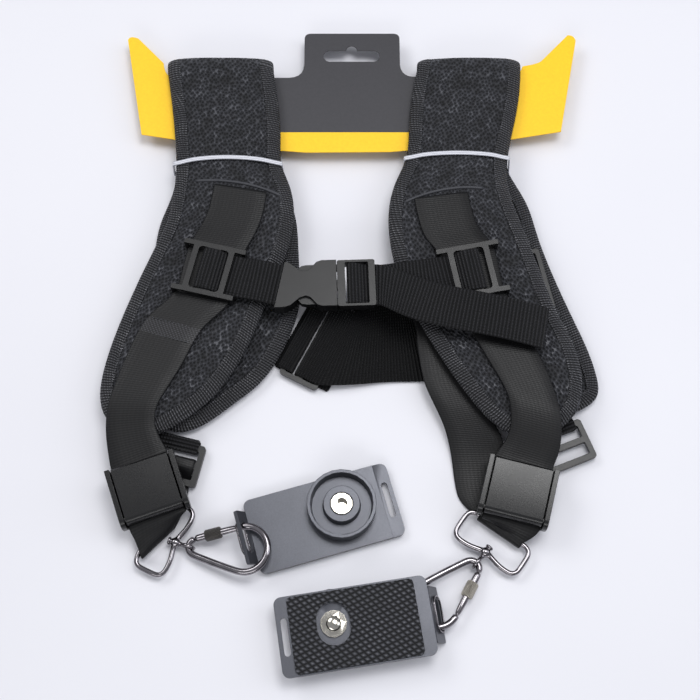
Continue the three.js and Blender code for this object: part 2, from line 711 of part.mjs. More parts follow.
function maleBuckle() {
  const half = BUCKLE_WIDE / 2;
  const start = BUCKLE.split + GAP;
  const webRoom = WEB_WIDE / 2 + GAP;
  const thick = 3.5;
  const prong = BUCKLE_THICK / 2 - BUCKLE_SKIN - GAP;
  const frame = roundedBox(start, BUCKLE.right, -half, half, 1.2);
  frame.holes.push(roundedBox(start + 4.5, MALE_RAIL.x, -webRoom, webRoom, 0.8));
  const add = [
    pin(MALE_BAR.radius, BUCKLE_WIDE - 1, 10).translate(MALE_BAR.x, 0, MALE_BAR.z),
    box(-8, start + 1, -2.5, 2.5, -prong, prong),
  ];
  for (const side of [-1, 1]) {
    const arm = new THREE.Shape();
    arm.moveTo(start + 1, side * 12.2);
    arm.lineTo(start + 1, side * 9.4);
    arm.quadraticCurveTo(-2, side * 9, -8, side * 6.4);
    arm.lineTo(-16.2, side * 6.4);
    arm.quadraticCurveTo(-16.2, side * 12.2, -11, side * 12.2);
    arm.lineTo(-6, side * 12.2);
    arm.lineTo(-6, side * 10.6);
    arm.quadraticCurveTo(0, side * 12.2, start + 1, side * 12.2);
    add.push(slab(arm, -prong, prong, 3));
  }
  // the webbing passes under the outer rail
  const cut = [box(MALE_RAIL.x - 0.5, BUCKLE.right + 1, -webRoom, webRoom, -thick - 1, MALE_RAIL.z)];
  return carved(slab(frame, -thick, thick), { add, cut });
}

function chestStrapLeft(seat) {
  const frame = buckleFrame().multiply(hoodFrame());
  const a = vec(0, 1).transformDirection(frame);
  const turn = BUCKLE_BAR.radius + GAP * 1.5 + WEB_THICK / 2;
  const inHood = (x, z) => ({ c: vec(x, 0, z).applyMatrix4(frame), a });
  const rows = [
    ...woundOnSlider(seat, 1, 20),
    inHood(-15.5, 4.4),
    inHood(-9, 3.5),
    inHood(-4.6, 2.6),
    ...wrapped(frame, { x: 0, z: 0 }, turn, 90, -90),
    inHood(-2.6, -turn + 0.4),
    inHood(-4.8, -0.7),
    inHood(-7.6, 0.6),
    inHood(-11, 1.6),
    inHood(-15.5, 2.3),
    inHood(-20.5, 2.6),
  ];
  return ribbon(rows, WEB_WIDE, WEB_THICK, 1);
}

function chestStrapRight(seat) {
  const frame = buckleFrame();
  const a = vec(0, 1).transformDirection(frame);
  const turn = MALE_BAR.radius + GAP * 1.5 + WEB_THICK / 2;
  const under = MALE_RAIL.z - GAP - WEB_THICK / 2;
  const inBuckle = (x, z) => ({ c: vec(x, 0, z).applyMatrix4(frame), a });
  const free = (x, y, z, lean) => ({ c: vec(x, y, z), a: leaning(lean + 90) });
  const rows = [
    ...woundOnSlider(seat, -1, 18),
    free(43, 33.3, 25.6, 6),
    free(34.5, 32.9, 24, 4),
    free(28, 32.8, 22.2, 3),
    free(21.5, 32.9, 19.8, 2),
    inBuckle(BUCKLE.right + 1, MALE_BAR.z - turn),
    inBuckle(MALE_RAIL.x - 1, MALE_BAR.z - turn),
    ...wrapped(frame, MALE_BAR, turn, 270, 90),
    inBuckle(MALE_BAR.x + 3.4, MALE_BAR.z + 1.8),
    inBuckle(MALE_RAIL.x - 2.8, under + 1),
    inBuckle(MALE_RAIL.x - 0.4, under + 0.1),
    inBuckle(BUCKLE.right + 0.4, under + 0.1),
    free(19, 31.6, 21.8, -4),
    free(25.5, 27.8, 24.3, -12),
    free(34, 22.6, 26.6, -18),
    free(43, 18.7, 28.6, -18),
    free(52, 15.4, 30.6, -14),
    free(66, 12.3, 31.3, -12),
    free(80, 9.4, 31.3, -11),
    free(92, 6.8, 30.6, -11),
    free(101, 4.8, 29.2, -11),
    free(110, 2.8, 27.4, -11),
  ];
  return ribbon(rows, WEB_WIDE, WEB_THICK, 1);
}

// Cam-lock stopper, in its own frame: y along the strap away from the ring, z from its underside
const STRAP_IN_STOPPER = STOPPER_BASE + 0.4 + STRAP_THICK / 2;
const STOPPER_HALF = STRAP_WIDE / 2 + GAP * 2 + STOPPER_CHEEK;
const STOPPER_PIN = { y: -STOPPER_LONG / 2 + 4.5, z: LID_FLOOR + LID_THICK / 2 };
const STOPPER_LIFT = 9.6;

function stopperFrame(side) {
  const turn = new THREE.Matrix4().makeRotationZ(rad(side.stopperLean));
  const tilt = new THREE.Matrix4().makeRotationX(rad(STOPPER_TILT));
  return turn.multiply(tilt).setPosition(side.stopper[0], side.stopper[1], STOPPER_LIFT);
}

function stopperBody() {
  const half = STOPPER_LONG / 2;
  const inner = STOPPER_HALF - STOPPER_CHEEK;
  const channel = box(-inner, inner, -half - 1, half + 1, STOPPER_BASE, STOPPER_HIGH + 1);
  const bore = pin(PIN_RADIUS + GAP, STOPPER_HALF * 2 + 2, 12).rotateZ(Math.PI / 2)
    .translate(0, STOPPER_PIN.y, STOPPER_PIN.z);
  const side = new THREE.Shape();
  side.moveTo(-half, 0);
  side.lineTo(half, 0);
  side.lineTo(half, STOPPER_HIGH);
  side.lineTo(-half + 5, STOPPER_HIGH);
  side.absarc(-half + 5, STOPPER_HIGH - 5, 5, Math.PI / 2, Math.PI);
  const block = slab(side, -STOPPER_HALF, STOPPER_HALF, 4).rotateX(Math.PI / 2).rotateZ(Math.PI / 2);
  return carved(block, { cut: [channel, bore] });
}

function stopperLid() {
  const half = STRAP_WIDE / 2 - 0.3;
  const end = STOPPER_LONG / 2 - 0.5;
  const top = LID_FLOOR + LID_THICK;
  const radius = LID_THICK / 2;
  const side = new THREE.Shape();
  side.moveTo(end, LID_FLOOR);
  side.lineTo(end, top - 1);
  side.lineTo(end - 1, top);
  side.lineTo(STOPPER_PIN.y, top);
  side.absarc(STOPPER_PIN.y, STOPPER_PIN.z, radius, Math.PI / 2, Math.PI * 1.5);
  const block = slab(side, -half, half, 5).rotateX(Math.PI / 2).rotateZ(Math.PI / 2);
  const bore = pin(PIN_RADIUS + GAP, half * 2 + 2, 12).rotateZ(Math.PI / 2)
    .translate(0, STOPPER_PIN.y, STOPPER_PIN.z);
  // the underside is hollowed so that only the nose and the far end come near the strap
  const relief = box(-half + 2, half - 2, STOPPER_PIN.y + 5, end - 3, LID_FLOOR - 1, LID_FLOOR + 1.6);
  return carved(block, { cut: [bore, relief] });
}

// Wire ring: a rounded rectangle whose one long side dips in to a boss for the swivel
function ringPoint(angleShare) {
  const halfX = RING_LONG / 2;
  const halfY = RING_WIDE / 2;
  const straightX = halfX - RING_CORNER;
  const straightY = halfY - RING_CORNER;
  const arc = (Math.PI / 2) * RING_CORNER;
  const around = 4 * straightX + 4 * straightY + 4 * arc;
  let run = angleShare * around;
  // start at the middle of the bar and go round clockwise
  const parts = [
    [straightX, (d) => vec(d, halfY)],
    [arc, (d) => vec(straightX + RING_CORNER * Math.sin(d / RING_CORNER),
      straightY + RING_CORNER * Math.cos(d / RING_CORNER))],
    [2 * straightY, (d) => vec(halfX, straightY - d)],
    [arc, (d) => vec(straightX + RING_CORNER * Math.cos(d / RING_CORNER),
      -straightY - RING_CORNER * Math.sin(d / RING_CORNER))],
    [2 * straightX, (d) => {
      const x = straightX - d;
      return vec(x, -halfY + RING_DIP * Math.cos((Math.PI / 2) * Math.min(1, Math.abs(x) / 12)) ** 2);
    }],
    [arc, (d) => vec(-straightX - RING_CORNER * Math.sin(d / RING_CORNER),
      -straightY - RING_CORNER * Math.cos(d / RING_CORNER))],
    [2 * straightY, (d) => vec(-halfX, -straightY + d)],
    [arc, (d) => vec(-straightX - RING_CORNER * Math.cos(d / RING_CORNER),
      straightY + RING_CORNER * Math.sin(d / RING_CORNER))],
    [straightX, (d) => vec(-straightX + d, halfY)],
  ];
  for (const [length, place] of parts) {
    if (run <= length) {
      return place(run);
    }
    run -= length;
  }
  return parts.at(-1)[1](straightX);
}

const RING_BOSS_Y = -RING_WIDE / 2 + RING_DIP;

function strapRing(swivelTurn) {
  const points = Array.from({ length: 36 }, (_, i) => ringPoint(i / 36));
  const wire = new THREE.TubeGeometry(new THREE.CatmullRomCurve3(points, true), 36, RING_WIRE, 6, true);
  const boss = new THREE.SphereGeometry(BOSS_RADIUS, 10, 6).translate(0, RING_BOSS_Y, 0);
  const hole = pin(POST_RADIUS + GAP, 12, 8).rotateZ(rad(swivelTurn)).translate(0, RING_BOSS_Y, 0);
  return carved(wire, { add: [boss], cut: [hole] });
}

// Swivel, in its own frame: x from the ring's boss towards the hook, origin at the boss
const EYE_RADIUS = HOOK_WIRE + 0.5 + EYE_WIRE;
const SWIVEL_REACH = BOSS_RADIUS + GAP + EYE_RADIUS + EYE_WIRE;

function swivel() {
  const eye = new THREE.TorusGeometry(EYE_RADIUS, EYE_WIRE, 5, 14).rotateX(Math.PI / 2)
    .translate(SWIVEL_REACH, 0, 0);
  const inside = -BOSS_RADIUS - GAP;
  const post = new THREE.LatheGeometry([
    new THREE.Vector2(0, inside - RIVET_THICK),
    new THREE.Vector2(RIVET_RADIUS, inside - RIVET_THICK),
    new THREE.Vector2(RIVET_RADIUS, inside),
    new THREE.Vector2(POST_RADIUS, inside),
    new THREE.Vector2(POST_RADIUS, SWIVEL_REACH - EYE_RADIUS),
    new THREE.Vector2(0, SWIVEL_REACH - EYE_RADIUS),
  ], 8).rotateZ(-Math.PI / 2);
  return carved(post, { add: [eye] });
}

// Snap hook, in its own frame: origin at the middle of the wire at the narrow end, x to the big end,
// gate on the +y side
const FLARE = Math.asin((HOOK_BIG - HOOK_SMALL) / HOOK_SPREAD);
const onHook = (centre, radius, angle) =>
  vec(centre + radius * Math.cos(angle), radius * Math.sin(angle), 0);
const SMALL_END = HOOK_SMALL;
const BIG_END = HOOK_SMALL + HOOK_SPREAD;
const GATE_FOOT = onHook(SMALL_END, HOOK_SMALL, Math.PI / 2 + FLARE);
const GATE_HEAD = onHook(BIG_END, HOOK_BIG, Math.PI / 2 + FLARE);
const GATE_AXIS = GATE_HEAD.clone().sub(GATE_FOOT).normalize();
const GATE_PIVOT = GATE_FOOT.clone().addScaledVector(GATE_AXIS, GATE_RADIUS + GAP);
const GATE_LONG = GATE_HEAD.distanceTo(GATE_PIVOT) - GAP;

function hookBody() {
  const points = [];
  for (let i = 0; i <= 8; i += 1) {
    points.push(onHook(SMALL_END, HOOK_SMALL, Math.PI / 2 + FLARE + (i / 8) * (Math.PI - 2 * FLARE)));
  }
  for (let i = 0; i <= 12; i += 1) {
    points.push(onHook(BIG_END, HOOK_BIG, -Math.PI / 2 - FLARE + (i / 12) * (Math.PI + 2 * FLARE)));
  }
  return rod(new THREE.CatmullRomCurve3(points, false, 'centripetal'), HOOK_WIRE, 32, 6);
}

function hookGate() {
  const profile = [new THREE.Vector2(0, -GATE_RADIUS)];
  for (const angle of [-60, -30, 0]) {
    profile.push(new THREE.Vector2(GATE_RADIUS * Math.cos(rad(angle)), GATE_RADIUS * Math.sin(rad(angle))));
  }
  profile.push(new THREE.Vector2(GATE_RADIUS, GATE_LONG), new THREE.Vector2(0, GATE_LONG));
  return new THREE.LatheGeometry(profile, 10);
}

function gateSleeve() {
  const bore = GATE_RADIUS + GAP;
  return new THREE.LatheGeometry([
    new THREE.Vector2(bore, 0),
    new THREE.Vector2(SLEEVE_RADIUS - 0.5, 0),
    new THREE.Vector2(SLEEVE_RADIUS, 0.7),
    new THREE.Vector2(SLEEVE_RADIUS, SLEEVE_LONG - 0.7),
    new THREE.Vector2(SLEEVE_RADIUS - 0.5, SLEEVE_LONG),
    new THREE.Vector2(bore, SLEEVE_LONG),
    new THREE.Vector2(bore, 0),
  ], 12);
}

// Camera plate, in its own frame: x along it with the slot at +x, knob side up, z from its mid plane
function oval(halfX, halfY) {
  const shape = new THREE.Shape();
  const radius = Math.min(halfX, halfY);
  const run = Math.max(halfX, halfY) - radius;
  if (halfY > halfX) {
    shape.absarc(0, run, radius, 0, Math.PI);
    shape.absarc(0, -run, radius, Math.PI, Math.PI * 2);
  } else {
    shape.absarc(run, 0, radius, -Math.PI / 2, Math.PI / 2);
    shape.absarc(-run, 0, radius, Math.PI / 2, Math.PI * 1.5);
  }
  return shape;
}

function flangeFrame() {
  const rise = rad(180 - FLANGE_RISE);
  const matrix = new THREE.Matrix4().makeRotationY(-rise);
  return matrix.setPosition(-PLATE_LONG / 2, 0, 0);
}

function plateBody() {
  const halfX = PLATE_LONG / 2;
  const halfY = PLATE_WIDE / 2;
  const thick = PLATE_THICK / 2;
  const outline = roundedBox(-halfX, halfX, -halfY, halfY, PLATE_CORNER);
  const slotX = halfX - PLATE_SLOT_WIDE / 2 - 2.4;
  const add = [];
  const flange = roundedBox(-1, FLANGE_HIGH, -FLANGE_LONG / 2, FLANGE_LONG / 2, 1);
  add.push(slab(flange, -FLANGE_THICK / 2, FLANGE_THICK / 2).applyMatrix4(flangeFrame()));
  const cut = [
    slab(oval(PLATE_SLOT_WIDE / 2, PLATE_SLOT / 2), -5, 5).translate(slotX, 0, 0),
    pin(SCREW_RADIUS + GAP + 0.1, 10, 16).rotateX(Math.PI / 2).translate(KNOB_OFF_LONG, KNOB_OFF_WIDE, 0),
    slab(oval(WINDOW_WIDE / 2, WINDOW_LONG / 2), -thick - 1, -thick + WINDOW_DEEP, 4)
      .translate(KNOB_OFF_LONG, KNOB_OFF_WIDE, 0),
    box(halfX - SHELF_LONG, halfX + 1, -halfY - 1, halfY + 1, thick - SHELF_DEEP, thick + 1),
    slab(oval(EYELET_WIDE / 2, EYELET_LONG / 2), -4, 4).translate(EYELET_X, 0, 0).applyMatrix4(flangeFrame()),
  ];
  return carved(slab(outline, -thick, thick), { add, cut });
}

function plateEyelet() {
  const ring = oval(EYELET_WIDE / 2 + GAP + EYELET_WALL, EYELET_LONG / 2 + GAP + EYELET_WALL);
  ring.holes.push(oval(EYELET_WIDE / 2 + GAP, EYELET_LONG / 2 + GAP));
  const outer = FLANGE_THICK / 2 + GAP;
  return slab(ring, outer, outer + 1).translate(EYELET_X, 0, 0);
}

function plateRubber() {
  const pad = roundedBox(-RUBBER_LONG / 2, RUBBER_LONG / 2, -RUBBER_WIDE / 2, RUBBER_WIDE / 2, 2.5);
  const window = oval(WINDOW_WIDE / 2 + 0.4, WINDOW_LONG / 2 + 0.4).getPoints(5)
    .map((point) => new THREE.Vector2(point.x + KNOB_OFF_LONG, point.y + KNOB_OFF_WIDE));
  pad.holes.push(new THREE.Path(window));
  const top = -PLATE_THICK / 2 - GAP;
  return slab(pad, top - RUBBER_THICK, top);
}

// Knob and screw, in a frame at the knob's underside with z up out of the plate
function plateKnob() {
  const bore = INSERT_RADIUS + GAP;
  return new THREE.LatheGeometry([
    new THREE.Vector2(bore, 0),
    new THREE.Vector2(KNOB_RADIUS - 0.6, 0),
    new THREE.Vector2(KNOB_RADIUS, 0.8),
    new THREE.Vector2(KNOB_RADIUS, KNOB_HIGH),
    new THREE.Vector2(KNOB_RADIUS - KNOB_WALL, KNOB_HIGH),
    new THREE.Vector2(KNOB_RADIUS - KNOB_WALL - 0.6, KNOB_FLOOR),
    new THREE.Vector2(HUB_RADIUS + 0.4, KNOB_FLOOR),
    new THREE.Vector2(HUB_RADIUS, KNOB_HIGH - 1),
    new THREE.Vector2(bore, KNOB_HIGH - 1),
    new THREE.Vector2(bore, 0),
  ], 24).rotateX(Math.PI / 2);
}

function knobScrew() {
  const collarTop = -GAP - PLATE_THICK + WINDOW_DEEP - GAP;
  const tip = -GAP - PLATE_THICK - GAP - RUBBER_THICK + 0.1;
  return new THREE.LatheGeometry([
    new THREE.Vector2(0, tip),
    new THREE.Vector2(1.6, tip),
    new THREE.Vector2(SCREW_RADIUS + 0.4, tip + 0.7),
    new THREE.Vector2(SCREW_RADIUS + 0.9, collarTop - 0.9),
    new THREE.Vector2(COLLAR_RADIUS, collarTop - 0.9),
    new THREE.Vector2(COLLAR_RADIUS, collarTop),
    new THREE.Vector2(SCREW_RADIUS, collarTop),
    new THREE.Vector2(SCREW_RADIUS, 0),
    new THREE.Vector2(INSERT_RADIUS, 0),
    new THREE.Vector2(INSERT_RADIUS, KNOB_HIGH - 0.8),
    new THREE.Vector2(SCREW_RADIUS + 0.1, KNOB_HIGH - 0.8),
    new THREE.Vector2(SCREW_RADIUS + 0.1, 2.4),
    new THREE.Vector2(0, 2.4),
  ], 12).rotateX(Math.PI / 2);
}

// Ladder lock, in its own frame: y away from the ring
const LOCK_ROOM = STRAP_WIDE / 2 + 0.5;

function ladderLock() {
  const half = LOCK_LONG / 2;
  const outline = roundedBox(-LOCK_ROOM - LOCK_RAIL, LOCK_ROOM + LOCK_RAIL, -half, half, 2);
  outline.holes.push(roundedBox(-LOCK_ROOM, LOCK_ROOM, LOCK_BAR / 2, half - LOCK_BAR, 0.8));
  outline.holes.push(roundedBox(-LOCK_ROOM, LOCK_ROOM, -half + LOCK_BAR, -LOCK_BAR / 2, 0.8));
  return slab(outline, -LOCK_THICK / 2, LOCK_THICK / 2, 2);
}

function lockFrame(side) {
  const matrix = new THREE.Matrix4().makeRotationZ(rad(side.lockLean));
  return matrix.setPosition(side.lock[0], side.lock[1], LOCK_HIGH);
}

// Webbing tab sewn under the pad's tip and wound round the lock's top bar
function ladderTab(side) {
  const frame = lockFrame(side);
  const a = vec(1, 0).transformDirection(frame);
  const top = LOCK_LONG / 2;
  const off = LOCK_THICK / 2 + GAP + WEB_THICK / 2;
  const inner = top - LOCK_BAR;
  const at = (y, z) => ({ c: vec(0, y, z).applyMatrix4(frame), a });
  const rows = [
    at(top + side.tabLong, off - 0.9),
    at(top + 0.9, off - 0.05),
    at(inner + 0.8, off),
    at(inner - 0.9, off - 0.5),
    at(inner - 1.4, 0),
    at(inner - 0.9, -off + 0.5),
    at(inner + 0.8, -off),
    at(top + 0.9, -off + 0.05),
    at(top + side.tabLong, -off + 0.9),
  ];
  return ribbon(rows, STRAP_WIDE - 1, WEB_THICK, 1);
}

// Carry strap where it lies in a stopper and where it lies under a slider
function stopperRows(side) {
  const frame = stopperFrame(side);
  const half = STOPPER_LONG / 2;
  const a = vec(1, 0).transformDirection(frame);
  const at = (y, drop = 0) => ({ c: vec(0, y, STRAP_IN_STOPPER - drop).applyMatrix4(frame), a });
  return [at(half + 2.4), at(half - 2), at(0), at(-half + 2), at(-half - 0.8, 0.4)];
}

function sliderRows(side, course) {
  const frame = seatOnPad(course, side.sliderSection, side.sliderAside, side.sliderLean);
  const a = vec(1, 0).transformDirection(frame);
  return [1, 0, -1].map((end) => {
    const c = vec(0, end * (SLIDER.halfY + 0.6), STRAP_RIDE + STRAP_THICK / 2).applyMatrix4(frame);
    return { c, a };
  });
}

function carryStrapLeft(side, course) {
  const ride = GAP + STRAP_THICK / 2;
  const lock = lockFrame(side);
  const inLock = (y, z) => ({ c: vec(0, y, z).applyMatrix4(lock), a: vec(1, 0).transformDirection(lock) });
  const free = (x, y, z, lean, w = 1) => ({ c: vec(x, y, z), a: leaning(lean), w });
  const off = LOCK_THICK / 2 + GAP + STRAP_THICK / 2;
  const bar = LOCK_BAR / 2;
  const slot = -LOCK_LONG / 2 + LOCK_BAR; // edge of the lower slot
  const rows = [
    onPad(course, 4.15, 4.5, ride, -10),
    onPad(course, 4.8, 2.5, ride, -10),
    onPad(course, 5.5, 0.8, ride + 0.4, -11),
    ...sliderRows(side, course),
    onPad(course, 7.9, -6.4, ride + 0.2, -14),
    onPad(course, 8.8, -7.4, ride, -17),
    { ...onPad(course, 9.8, -7.6, ride + 0.1, -12), w: 0.9 },
    { ...onPad(course, 10.7, -6, ride + 0.4, -5), w: 0.84 },
    free(-121.4, PAD_TIP + 7.6, 17.2, 1, 0.84),
    free(-119.6, PAD_TIP - 1.6, 15.6, 9, 0.9),
    ...stopperRows(side),
    free(-104.2, PAD_TIP - 49.6, 8.6, 30, 0.86),
    free(-104.5, PAD_TIP - 54, 7.1, 42, 0.77),
    free(-104.7, PAD_TIP - 56.8, 4.4, 46, 0.73),
    free(-104.5, PAD_TIP - 54.2, 1.8, 42, 0.77),
    free(-105.2, PAD_TIP - 48, 1.1, 30, 0.86),
    free(-105.6, PAD_TIP - 39, 1, 12, 0.9),
    free(-105, PAD_TIP - 29, 1, -6, 0.95),
    inLock(-LOCK_LONG / 2 - 1, -off),
    inLock(slot - 1.2, -off),
    inLock(slot + 0.7, -off + 0.1),
    inLock((slot - bar) / 2, 0),
    inLock(-bar - 0.7, off - 0.1),
    inLock(bar - 1, off),
    inLock(bar + 0.9, off - 0.3),
    inLock(bar + 1.3, 0),
    inLock(bar + 0.9, -off + 0.3),
    inLock(bar - 1, -off),
    inLock(-bar + 0.6, -off),
  ];
  return ribbon(rows, STRAP_WIDE, STRAP_THICK, 2);
}

// Frame on the ring's upper bar: y along it, x into the ring
function ringBarFrame(side) {
  const frame = new THREE.Matrix4().makeRotationZ(rad(side.ringLean));
  frame.setPosition(side.ring[0], side.ring[1], METAL_HIGH);
  frame.multiply(new THREE.Matrix4().makeTranslation(0, RING_WIDE / 2, 0));
  return frame.multiply(new THREE.Matrix4().makeRotationZ(-Math.PI / 2));
}

// The right strap goes back up between the lobes, folds over and ends at the adjuster loop
const RIGHT_LOOP = { at: [107.4, 38.8, 11.6], lean: 12 };
const RIGHT_FOLD = { x: 54, y: 31, lean: 47.7, low: 9.9, reach: 0.9 };

function carryStrapRight(side, course) {
  const ride = GAP + STRAP_THICK / 2;
  const free = (x, y, z, lean, w = 1) => ({ c: vec(x, y, z), a: leaning(lean), w });
  const { low } = RIGHT_FOLD;
  const high = low + STRAP_THICK + 0.2;
  const crease = leaning(RIGHT_FOLD.lean + 90).multiplyScalar(RIGHT_FOLD.reach);
  const folded = (z, off) => {
    const wide = 1 / Math.cos(rad(RIGHT_FOLD.lean));
    return free(RIGHT_FOLD.x + off * crease.x, RIGHT_FOLD.y + off * crease.y, z, RIGHT_FOLD.lean, wide);
  };
  const rows = [
    onPad(course, 4.6, -5.5, ride, 8),
    onPad(course, 5.1, -4.8, ride, 9),
    onPad(course, 5.7, -3.4, ride + 0.4, 10),
    ...sliderRows(side, course),
    onPad(course, 7.9, 0.8, ride + 0.3, 4),
    onPad(course, 8.6, -0.4, ride, -4),
    onPad(course, 9.4, -0.8, ride + 0.1, -8),
    { ...onPad(course, 10.3, -0.4, ride + 0.5, -10), w: 0.9 },
    free(102.2, -42, 21.6, -11, 0.88),
    free(102.4, PAD_TIP + 3, 18.6, -12, 0.88),
    free(100, PAD_TIP - 6, 15.6, -14, 0.93),
    ...stopperRows(side),
    free(85, PAD_TIP - 49.2, 8.8, -24, 0.88),
    ...wrapped(ringBarFrame(side), { x: 0, z: 0 }, RING_WIRE + GAP * 1.5 + STRAP_THICK / 2, 90, -90)
      .map((row) => ({ ...row, w: 0.86 })),
    free(79.2, PAD_TIP - 43, 1.1, -22, 0.95),
    free(75.6, PAD_TIP - 33, 1, -9),
    free(73.8, PAD_TIP - 19, 1.1, -3),
    free(72.4, PAD_TIP - 6, 2.6, -3),
    free(68.6, PAD_TIP + 7, 6, -9),
    free(62.5, -38, 8.8, -12),
    free(57.9, -25, low, -6),
    free(55.8, -12, low, 0),
    free(54.4, 0, low, 0),
    free(54, 12, low, 0),
    folded(low, 0),
    folded((low + high) / 2, 1),
    folded(high, 0),
    free(77, 33.2, high, 95.4),
    free(90, 35.4, high - 0.8, 98),
    free(98, 37, low - 0.1, 101),
    free(106.5, 38.7, low - 0.1, 102),
  ];
  return ribbon(rows, STRAP_WIDE, STRAP_THICK, 2);
}

function adjusterLoop() {
  const halfY = STRAP_WIDE / 2 + 0.6 + LOOP_RAIL;
  const outline = roundedBox(-LOOP_LONG / 2, LOOP_LONG / 2, -halfY, halfY, 2);
  const inner = LOOP_LONG / 2 - LOOP_RAIL;
  outline.holes.push(roundedBox(-inner, inner, -halfY + LOOP_RAIL, halfY - LOOP_RAIL, 1));
  return slab(outline, -LOOP_THICK / 2, LOOP_THICK / 2, 2);
}

// Wide adjuster of the back strap, in its own frame: x along the strap
const LEFT_ADJUSTER = { x: SIDES[0].foldX + PAD_WIDE - 12.9, z: 3.1, lean: -27 };

function adjusterFrame() {
  const matrix = new THREE.Matrix4().makeRotationZ(rad(LEFT_ADJUSTER.lean));
  return matrix.setPosition(LEFT_ADJUSTER.x, BACK_Y, LEFT_ADJUSTER.z);
}

function wideAdjuster() {
  const room = BACK_WIDE / 2 + 0.6;
  const halfX = ADJUSTER_LONG / 2;
  const outline = roundedBox(-halfX, halfX, -room - ADJUSTER_RAIL, room + ADJUSTER_RAIL, 2);
  for (const side of [-1, 1]) {
    const inner = side * (ADJUSTER_BAR / 2);
    const outer = side * (halfX - ADJUSTER_RAIL);
    outline.holes.push(roundedBox(Math.min(inner, outer), Math.max(inner, outer), -room, room, 1));
  }
  return slab(outline, -ADJUSTER_THICK / 2, ADJUSTER_THICK / 2, 2);
}

function backStrap() {
  const frame = adjusterFrame();
  const a = vec(0, 1).transformDirection(frame);
  const off = ADJUSTER_THICK / 2 + GAP + BACK_THICK / 2;
  const bar = ADJUSTER_BAR / 2;
  const at = (x, z) => ({ c: vec(x, 0, z).applyMatrix4(frame), a });
  const flat = (x, y, z, lean, w = 1) => ({ c: vec(x, BACK_Y + y, z), a: leaning(lean), w });
  const near = LEFT_ADJUSTER.x;
  const rows = [
    at(ADJUSTER_LONG / 2 + 6, -off),
    at(ADJUSTER_LONG / 2, -off),
    at(bar, -off),
    at(-bar + 0.5, -off),
    at(-bar - 1.1, -off + 0.5),
    at(-bar - 1.5, 0),
    at(-bar - 1.1, off - 0.5),
    at(-bar + 0.5, off),
    at(bar + 2, off),
    at(ADJUSTER_LONG / 2 - 1, off),
    flat(near + 16.4, -3.8, 5.1, 72),
    flat(near + 26.4, -1.6, 3.4, 84),
    flat(22, 0.6, 1.6, 90),
    flat(36, 1.2, 1, 98, 1.02),
    flat(48.9, 2, 1, 114.7, 1.1),
  ];
  return ribbon(rows, BACK_WIDE, BACK_THICK, 2);
}

// Tab from under the left back lobe's rim round the adjuster's outer rail
function backTab() {
  const frame = adjusterFrame();
  const a = vec(0, 1).transformDirection(frame);
  const off = ADJUSTER_THICK / 2 + GAP + WEB_THICK / 2;
  const outer = -ADJUSTER_LONG / 2;
  const inner = outer + ADJUSTER_RAIL;
  const at = (x, z) => ({ c: vec(x, TAB_OFF, z).applyMatrix4(frame), a });
  const rows = [
    at(outer - 5, -off + 0.1),
    at(outer + 0.3, -off),
    at(inner + 2.6, -off),
    at(inner + 3.9, -off + 0.5),
    at(inner + 4.2, 0),
    at(inner + 3.9, off - 0.5),
    at(inner + 2.6, off),
    at(outer + 0.3, off),
    at(outer - 2, off - 0.3),
  ];
  return ribbon(rows, TAB_WIDE, WEB_THICK, 1);
}

// Hang card, seen from above: a hanger tab, two shoulders under the pads and a raised wing at each end
function hangCard() {
  const card = new THREE.Shape();
  card.moveTo(-127.4, 136.5);
  card.quadraticCurveTo(-3, 110, 129, 138.5);
  card.lineTo(142.2, 203.7);
  card.quadraticCurveTo(141.5, 207.9, 137.4, 207.9);
  card.lineTo(119.5, 188.6);
  card.quadraticCurveTo(117, 186.6, 107.8, 185);
  card.quadraticCurveTo(106, 178.4, 100, 177.5);
  card.lineTo(39.2, 177.5);
  card.quadraticCurveTo(32, 177.8, 31.2, 186);
  card.lineTo(31.2, 205);
  card.quadraticCurveTo(31.2, 209, 27.2, 209);
  card.lineTo(-24.6, 209);
  card.quadraticCurveTo(-28.6, 209, -28.6, 205);
  card.lineTo(-28.6, 186);
  card.quadraticCurveTo(-29, 177, -38, 176.7);
  card.lineTo(-110, 176.7);
  card.quadraticCurveTo(-115.6, 178, -116.6, 187.3);
  card.lineTo(-133.4, 205.4);
  card.quadraticCurveTo(-139.2, 208, -139.9, 204.2);
  const slot = new THREE.Path();
  slot.absarc(-12.6, 192.4, 4, Math.PI / 2, Math.PI * 1.5);
  slot.lineTo(14.6, 188.4);
  slot.absarc(14.6, 192.4, 4, -Math.PI / 2, Math.PI / 2);
  slot.lineTo(5, 196.4);
  slot.absarc(1, 196.4, 3.4, 0, Math.PI);
  card.holes.push(slot);
  return slab(card, CARD_HIGH - CARD_THICK / 2, CARD_HIGH + CARD_THICK / 2, 5);
}

const layout = new THREE.Group();

